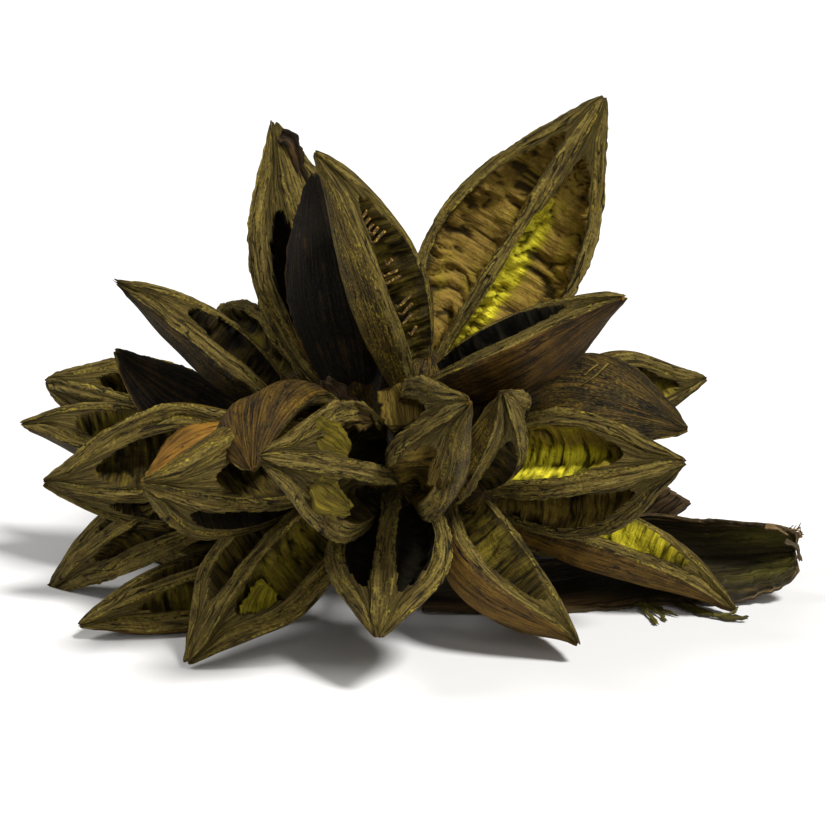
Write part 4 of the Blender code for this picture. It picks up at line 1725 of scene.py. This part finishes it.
@dataclass
class Sheath:
    """The dry boat-shaped sheath, open to the front, torn at its right end.

    Attributes:
        ribs: For each rib x, then (y, z) of its upper edge, its keel and its lower edge.
        length: Of the sheath, in millimetres.
        width: From its upper edge round the keel to its lower edge, for the grain.
        bulge: How far the upper flap is rounded outwards, as a share of its width.
        thickness: Of the sheet, in millimetres.
        fibres: How many straw fibres stand at its upper corner.
        furthest: How far right they may reach.
        seed: Another seed gives other tears.
        strips: Torn strips that hang off its lower edge and its upper corner.
    """

    ribs: tuple[tuple[float, Corner, Corner, Corner], ...] = (
        (6, (24, -37.0), (20, -41.25), (2, -41.25)),
        (21, (28, -37.0), (24, -41.25), (1, -41.25)),
        (36, (34, -35.0), (30, -41.25), (1, -41.25)),
        (52, (37, -33.0), (35, -40.5), (3, -41.25)),
        (68, (37, -22.0), (41, -37.0), (6, -41.25)),
        (84, (31, -21.0), (38, -35.0), (8, -41.25)),
        (97, (22, -20.0), (32, -33.0), (10, -40.5)),
        (108, (15, -20.0), (25, -30.0), (11, -36.5)),
        (113, (14, -23.0), (20, -28.5), (13, -32.0)),
    )
    length: float = 110.0
    width: float = 44.0
    bulge: float = 0.12
    thickness: float = 1.3
    fibres: int = 18
    furthest: float = 112.8
    seed: int = 5
    strips: tuple[Ribbon, ...] = (
        torn_strip(((66.5, 8, -40.4), (69, 0, -41.1), (70.5, -9, -41.4)), 0.9, tone=0.9),
        torn_strip(((68, 8, -40.4), (71.5, 1, -41.1), (73.5, -5, -41.4)), 0.8, tone=0.9),
        torn_strip(((70, 8, -40.4), (73.5, 3, -41.0), (77.0, -1, -41.4)), 0.8, tone=0.4),
        torn_strip(
            ((78, 8, -40.6), (84, 1, -41.0), (90, -4, -41.2), (96, -6, -40.4)), 1.5, tone=0.3
        ),
        torn_strip(((87, -2, -41.0), (91.5, -3.5, -40.0), (93.5, -3, -38.2)), 0.7, tone=0.9),
        torn_strip(((103, 16.2, -20.2), (106, 15.2, -20.2), (109, 14.4, -22.2)), 0.9, tan=0.45),
        torn_strip(((108.5, 14.6, -24), (111.6, 13.8, -25.6), (112.6, 13.6, -29)), 1.0, tan=0.12),
    )

    def middle(self, a: np.ndarray, b: np.ndarray) -> np.ndarray:
        """The sheet's middle surface.

        Smooth curves run through the ribs' corners; across, a straight line joins the corners,
        pushed outwards on the upper flap by a parabola and rounded at the keel.

        Args:
            a: Shares of the length, as a grid.
            b: Shares across, 0 at the upper edge, 0.5 at the keel, 1 at the lower edge.

        Returns:
            The grid of points.
        """
        rows = np.array([[(x, *place) for place in corners] for x, *corners in self.ribs], float)
        places = np.clip(a, 0, 1).ravel() * (len(self.ribs) - 1)
        corners = catmull(rows, places).reshape(*a.shape, 3, 3)
        upper, keel, lower = corners[..., 0, :], corners[..., 1, :], corners[..., 2, :]
        flap = np.clip(b * 2, 0, 1)[..., None]
        base = np.clip(b * 2 - 1, 0, 1)[..., None]
        span = keel - upper
        out = np.stack([span[..., 0] * 0, -span[..., 2], span[..., 1]], axis=-1)
        lift = self.bulge * 4 * flap * (1 - flap)
        on_flap = upper + flap * span + lift * out
        on_base = keel + base * (lower - keel)
        shape = np.where(b[..., None] < 0.5, on_flap, on_base)
        near_keel = bell((b - 0.5) / 0.07)[..., None]
        return shape + near_keel * 0.08 * ((upper + lower) / 2 - keel)

    def frays(self) -> list[Ribbon]:
        """Give the torn strips and the straw fibres at the upper corner.

        Each fibre starts on the sheath's edge; steady noise sets its length and its lean.

        Returns:
            The strips and the fibres.
        """
        made = list(self.strips)
        for i in range(self.fibres):
            lean, length = lattice(i, 1, self.seed), 3.2 + 1.6 * lattice(i, 2, self.seed)
            root = self.middle(np.array([[0.9 + 0.005 * i]]), np.array([[0.03 + 0.006 * i]]))[0, 0]
            tip = root + length * np.array([0.75 + 0.2 * lean, -0.2, 0.35 - 0.6 * lean])
            bend = (root + tip) / 2 + np.array([0.3, 0, 0.5]) * lean
            tip[0] = min(tip[0], self.furthest)
            knots = tuple(map(tuple, (root, bend, tip)))
            made.append(thread(knots, 0, 0.34, tan=0.8 * float(i % 3 > 0)))
        return made

    def build(self, finish: bpy.types.Material) -> bpy.types.Object:
        """Make the sheath: a two-sided sheet with frayed edges and a torn end.

        Noise cuts its end and its edges back, ripples, veins and curls lift it along its normals,
        and it thins towards its edges. Its marks are bumps about the middle of each patch; the tone
        mark's two bumps on the inside are painted light.

        Args:
            finish: Its material.

        Returns:
            The piece.
        """
        a, b = np.meshgrid(np.linspace(0, 1, 190), np.linspace(0, 1, 66), indexing="ij")
        x = a * self.length
        torn = smooth((a - 0.55) / 0.45)
        ends = 0.012 + 0.05 * np.abs(rough(b * 9, 0, self.seed, 4))
        ends = ends + 0.03 * np.abs(rough(b * 26, 3, self.seed, 2))
        hump = bell((a - 0.68) / 0.09)
        upper = 0.006 + (0.05 * torn + 0.012) * np.abs(rough(x / 4, 0, self.seed + 3, 4))
        upper = upper + 0.09 * hump * np.abs(rough(x / 7, 0, self.seed + 5, 4))
        lower = 0.006 + 0.05 * np.abs(rough(x / 5, 5, self.seed + 7, 4)) * smooth(a / 0.2)
        a = a * (1 - ends)
        b = upper + b * (1 - upper - lower)
        middle = self.middle(a, b)
        ripple = rough(x / 22, b * 5, self.seed + 11) * 0.8
        veins = rough(x / 60, b * 46, self.seed + 13, 2) * 0.16
        curl = rough(x / 7, b * 4, self.seed + 17) * 1.3 * torn * smooth((0.12 - b) / 0.12)
        middle = middle + sheet_normals(middle) * (ripple + veins + curl)[..., None]
        edge_near = np.minimum(np.minimum(b, 1 - b) * 40, (1 - a) * self.length)
        grid = two_sided(middle, self.thickness * (0.45 + 0.55 * smooth(edge_near / 3)))
        grid[..., 2] = np.maximum(grid[..., 2], 0.02 - HEART[2])
        wide = np.concatenate([b[0] * self.width, 60 + b[0, ::-1] * self.width, [110]])
        near = 1 - smooth(edge_near / 6)
        # Painted light: two patches of the inside, where light falls on it, get the olive tone.
        upper_painted_light = bell((a - 0.84) / 0.13) * bell((b - 0.28) / 0.13)
        lower_painted_light = bell((a - 0.9) / 0.14) * bell((b - 0.72) / 0.13)
        bare = 0.6 * bell((b - 0.86) / 0.1) * (1 - smooth((a - 0.3) / 0.2))
        marks = {
            "edge": on_both(near, near),
            "tone": on_both(0 * a, 0.75 * np.maximum(upper_painted_light, lower_painted_light)),
            "tan": on_both(0 * a + 0.26, bare),
        }
        skin = Skin()
        skin.add_tube(grid, x[:, 0], wide, 0, marks)
        for i, ribbon in enumerate(self.frays()):
            ribbon.add_to(skin, self.seed + 20 + i)
        return place_piece(skin.build("torn_sheath", [finish]), "sheath")


@dataclass
class Bract:
    """The ribbed scrap of bract behind the sheath.

    Attributes:
        foot: Left and right corner at the bottom.
        top: Left and right corner at the top.
        size: Rough height and width in millimetres, for the grain.
        bow: How far its middle bulges to the front, in millimetres.
        ridges: How many ridges run up it.
        ridge_height: Their height, in millimetres.
        thickness: Of the sheet, in millimetres.
        seed: Another seed gives other tears.
    """

    foot: Line = ((57, 46, -20), (66, 48, -36))
    top: Line = ((69, 41, -7), (85, 40, -19))
    size: tuple[float, float] = (26.0, 24.0)
    bow: float = 5.0
    ridges: int = 7
    ridge_height: float = 0.9
    thickness: float = 1.4
    seed: int = 3

    def build(self, finish: bpy.types.Material) -> bpy.types.Object:
        """Make the bract: a bowed four-cornered sheet with rounded ridges from foot to top.

        Its ridges are waves of a cosine across it, over a bow shaped as a parabola.

        Args:
            finish: Its material.

        Returns:
            The piece.
        """
        up, side = np.meshgrid(np.linspace(0, 1, 60), np.linspace(0, 1, 100), indexing="ij")
        ragged = 0.18 * np.abs(rough(side * 8, 0, self.seed, 4))
        side = 0.5 + (side - 0.5) * (1 - 0.12 * np.abs(rough(up * 7, side, self.seed + 2, 4)))
        up = up * (1 - ragged)
        foot, top = np.array(self.foot, float), np.array(self.top, float)
        left, right = (foot[k] + up[..., None] * (top[k] - foot[k]) for k in (0, 1))
        middle = left + side[..., None] * (right - left)
        wander = 0.06 * rough(up * 4, side * 3, self.seed + 5, 2)
        ridge = self.ridge_height * (1 - np.cos(2 * np.pi * self.ridges * (side + wander))) / 2
        fine = 0.25 * rough(up * 5, side * 50, self.seed + 7)
        bow = self.bow * 4 * side * (1 - side) * (0.4 + 0.6 * up)
        middle[..., 1] -= bow + ridge + fine
        grid = two_sided(middle, self.thickness * (1 - 0.5 * smooth((up - 0.8) / 0.2)))
        height, width = self.size
        across = np.concatenate([side[0] * width, 30 + side[0, ::-1] * width, [60]])
        # How deep in a groove: the hollow mark, which the bract's material paints dark as shade.
        groove = 1 - ridge / self.ridge_height
        skin = Skin()
        skin.add_tube(grid, up[:, 0] * height, across, 0, {"hollow": on_both(groove, groove)})
        return place_piece(
            skin.build("ribbed_bract_scrap", [finish]), "ribbed_bract"
        )


# The studio


@dataclass
class Studio:
    """A pale floor, soft light from the upper right and the camera at the photograph's angle.

    Attributes:
        floor_colour: Of the floor, as a hex colour.
        floor_reach: From its middle to its sides, in metres.
        ambient: Strength of the sky's light.
        lights: For each light its name, the way it comes from, its angle across in degrees,
            which softens the shadows, and its strength.
        elevation: How far above level the camera looks from, in degrees.
        lens: Focal length of the camera, in millimetres.
        camera_place: Where the camera stands, in millimetres about the heart.
    """

    floor_colour: str = "e4e3e1"
    floor_reach: float = 6.0
    ambient: float = 0.11
    lights: tuple[tuple[str, tuple[float, ...], float, float], ...] = (
        ("key_light", (0.5, -0.6, 1.0), 14.0, 4.2),
        ("top_light", (-0.7, -0.1, 0.9), 22.0, 1.3),
        ("front_light", (0.2, -1.0, 0.4), 36.0, 0.75),
    )
    elevation: float = 12.0
    lens: float = 120.6
    camera_place: tuple[float, float, float] = (3.4375, -740.105, 173.480)

    def build(self) -> None:
        """Make the floor, the lights, the sky and the camera."""
        self.add_floor()
        for light in self.lights:
            self.add_light(*light)
        self.add_sky()
        lens = bpy.data.cameras.new("photograph_view")
        lens.lens = self.lens
        lens.sensor_width = 36.0
        lens.clip_end = 50.0
        camera = add_object("photograph_view", lens)
        camera.location = Vector((HEART + np.array(self.camera_place)) * MM)
        camera.rotation_euler = (math.radians(90 - self.elevation), 0.0, 0.0)
        bpy.context.scene.camera = camera

    def add_floor(self) -> None:
        """Add the matt floor, a square about the origin."""
        m = Material("pale_studio_floor")
        m.feed(m.shader, "Base Color", self.floor_colour)
        m.feed(m.shader, "Roughness", 0.9)
        reach = self.floor_reach
        corners = [(-reach, -reach, 0), (reach, -reach, 0), (reach, reach, 0), (-reach, reach, 0)]
        mesh = bpy.data.meshes.new("studio_floor")
        mesh.from_pydata(corners, [], [(0, 1, 2, 3)])
        mesh.materials.append(m.made)
        floor = add_object("studio_floor", mesh)

    def add_light(self, name: str, place: tuple[float, ...], spread: float, power: float) -> None:
        """Add one far soft light, which lights pod and floor evenly.

        Args:
            name: Its name.
            place: The way it comes from.
            spread: Its angle across, in degrees.
            power: Its strength.
        """
        lamp = bpy.data.lights.new(name, "SUN")
        lamp.angle = math.radians(spread)
        lamp.energy = power
        made = add_object(name, lamp)
        made.location = place
        made.rotation_euler = (-Vector(place)).to_track_quat("-Z", "Y").to_euler()

    def add_sky(self) -> None:
        """Add a white sky that the camera sees in full, and that lights the pod a little."""
        world = bpy.data.worlds.new("studio")
        world.use_nodes = True
        sky = world.node_tree.nodes["Background"]
        sky.inputs["Color"].default_value = (1.0, 1.0, 1.0, 1.0)
        path = add_node(world.node_tree, "ShaderNodeLightPath").outputs["Is Camera Ray"]
        settings = {"To Min": self.ambient, "To Max": 1.0}
        seen = add_node(world.node_tree, "ShaderNodeMapRange", settings, {"Value": path})
        world.node_tree.links.new(seen.outputs["Result"], sky.inputs["Strength"])
        bpy.context.scene.world = world
        bpy.context.scene.view_settings.view_transform = "Standard"


def report(piece: bpy.types.Object) -> None:
    """Log a finished piece and how many faces it has."""
    LOG.info("%s: %d faces", piece.name, len(piece.data.polygons))


def main() -> None:
    """Dress each capsule, then the axis, the sheath and the bract, and light the scene."""
    logging.basicConfig(level=logging.INFO, format="%(message)s")
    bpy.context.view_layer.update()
    finishes = [kind().build() for kind in (DriedHusk, SplitRim, FringedLining, TornFibre)]
    parts = ((Axis(), BarkyWood()), (Sheath(), DriedSheath()), (Bract(), RibbedBark()))
    for capsule in CAPSULES:
        report(capsule.build(finishes))
    for part, finish in parts:
        report(part.build(finish.build()))
    Studio().build()


if __name__ == "__main__":
    main()
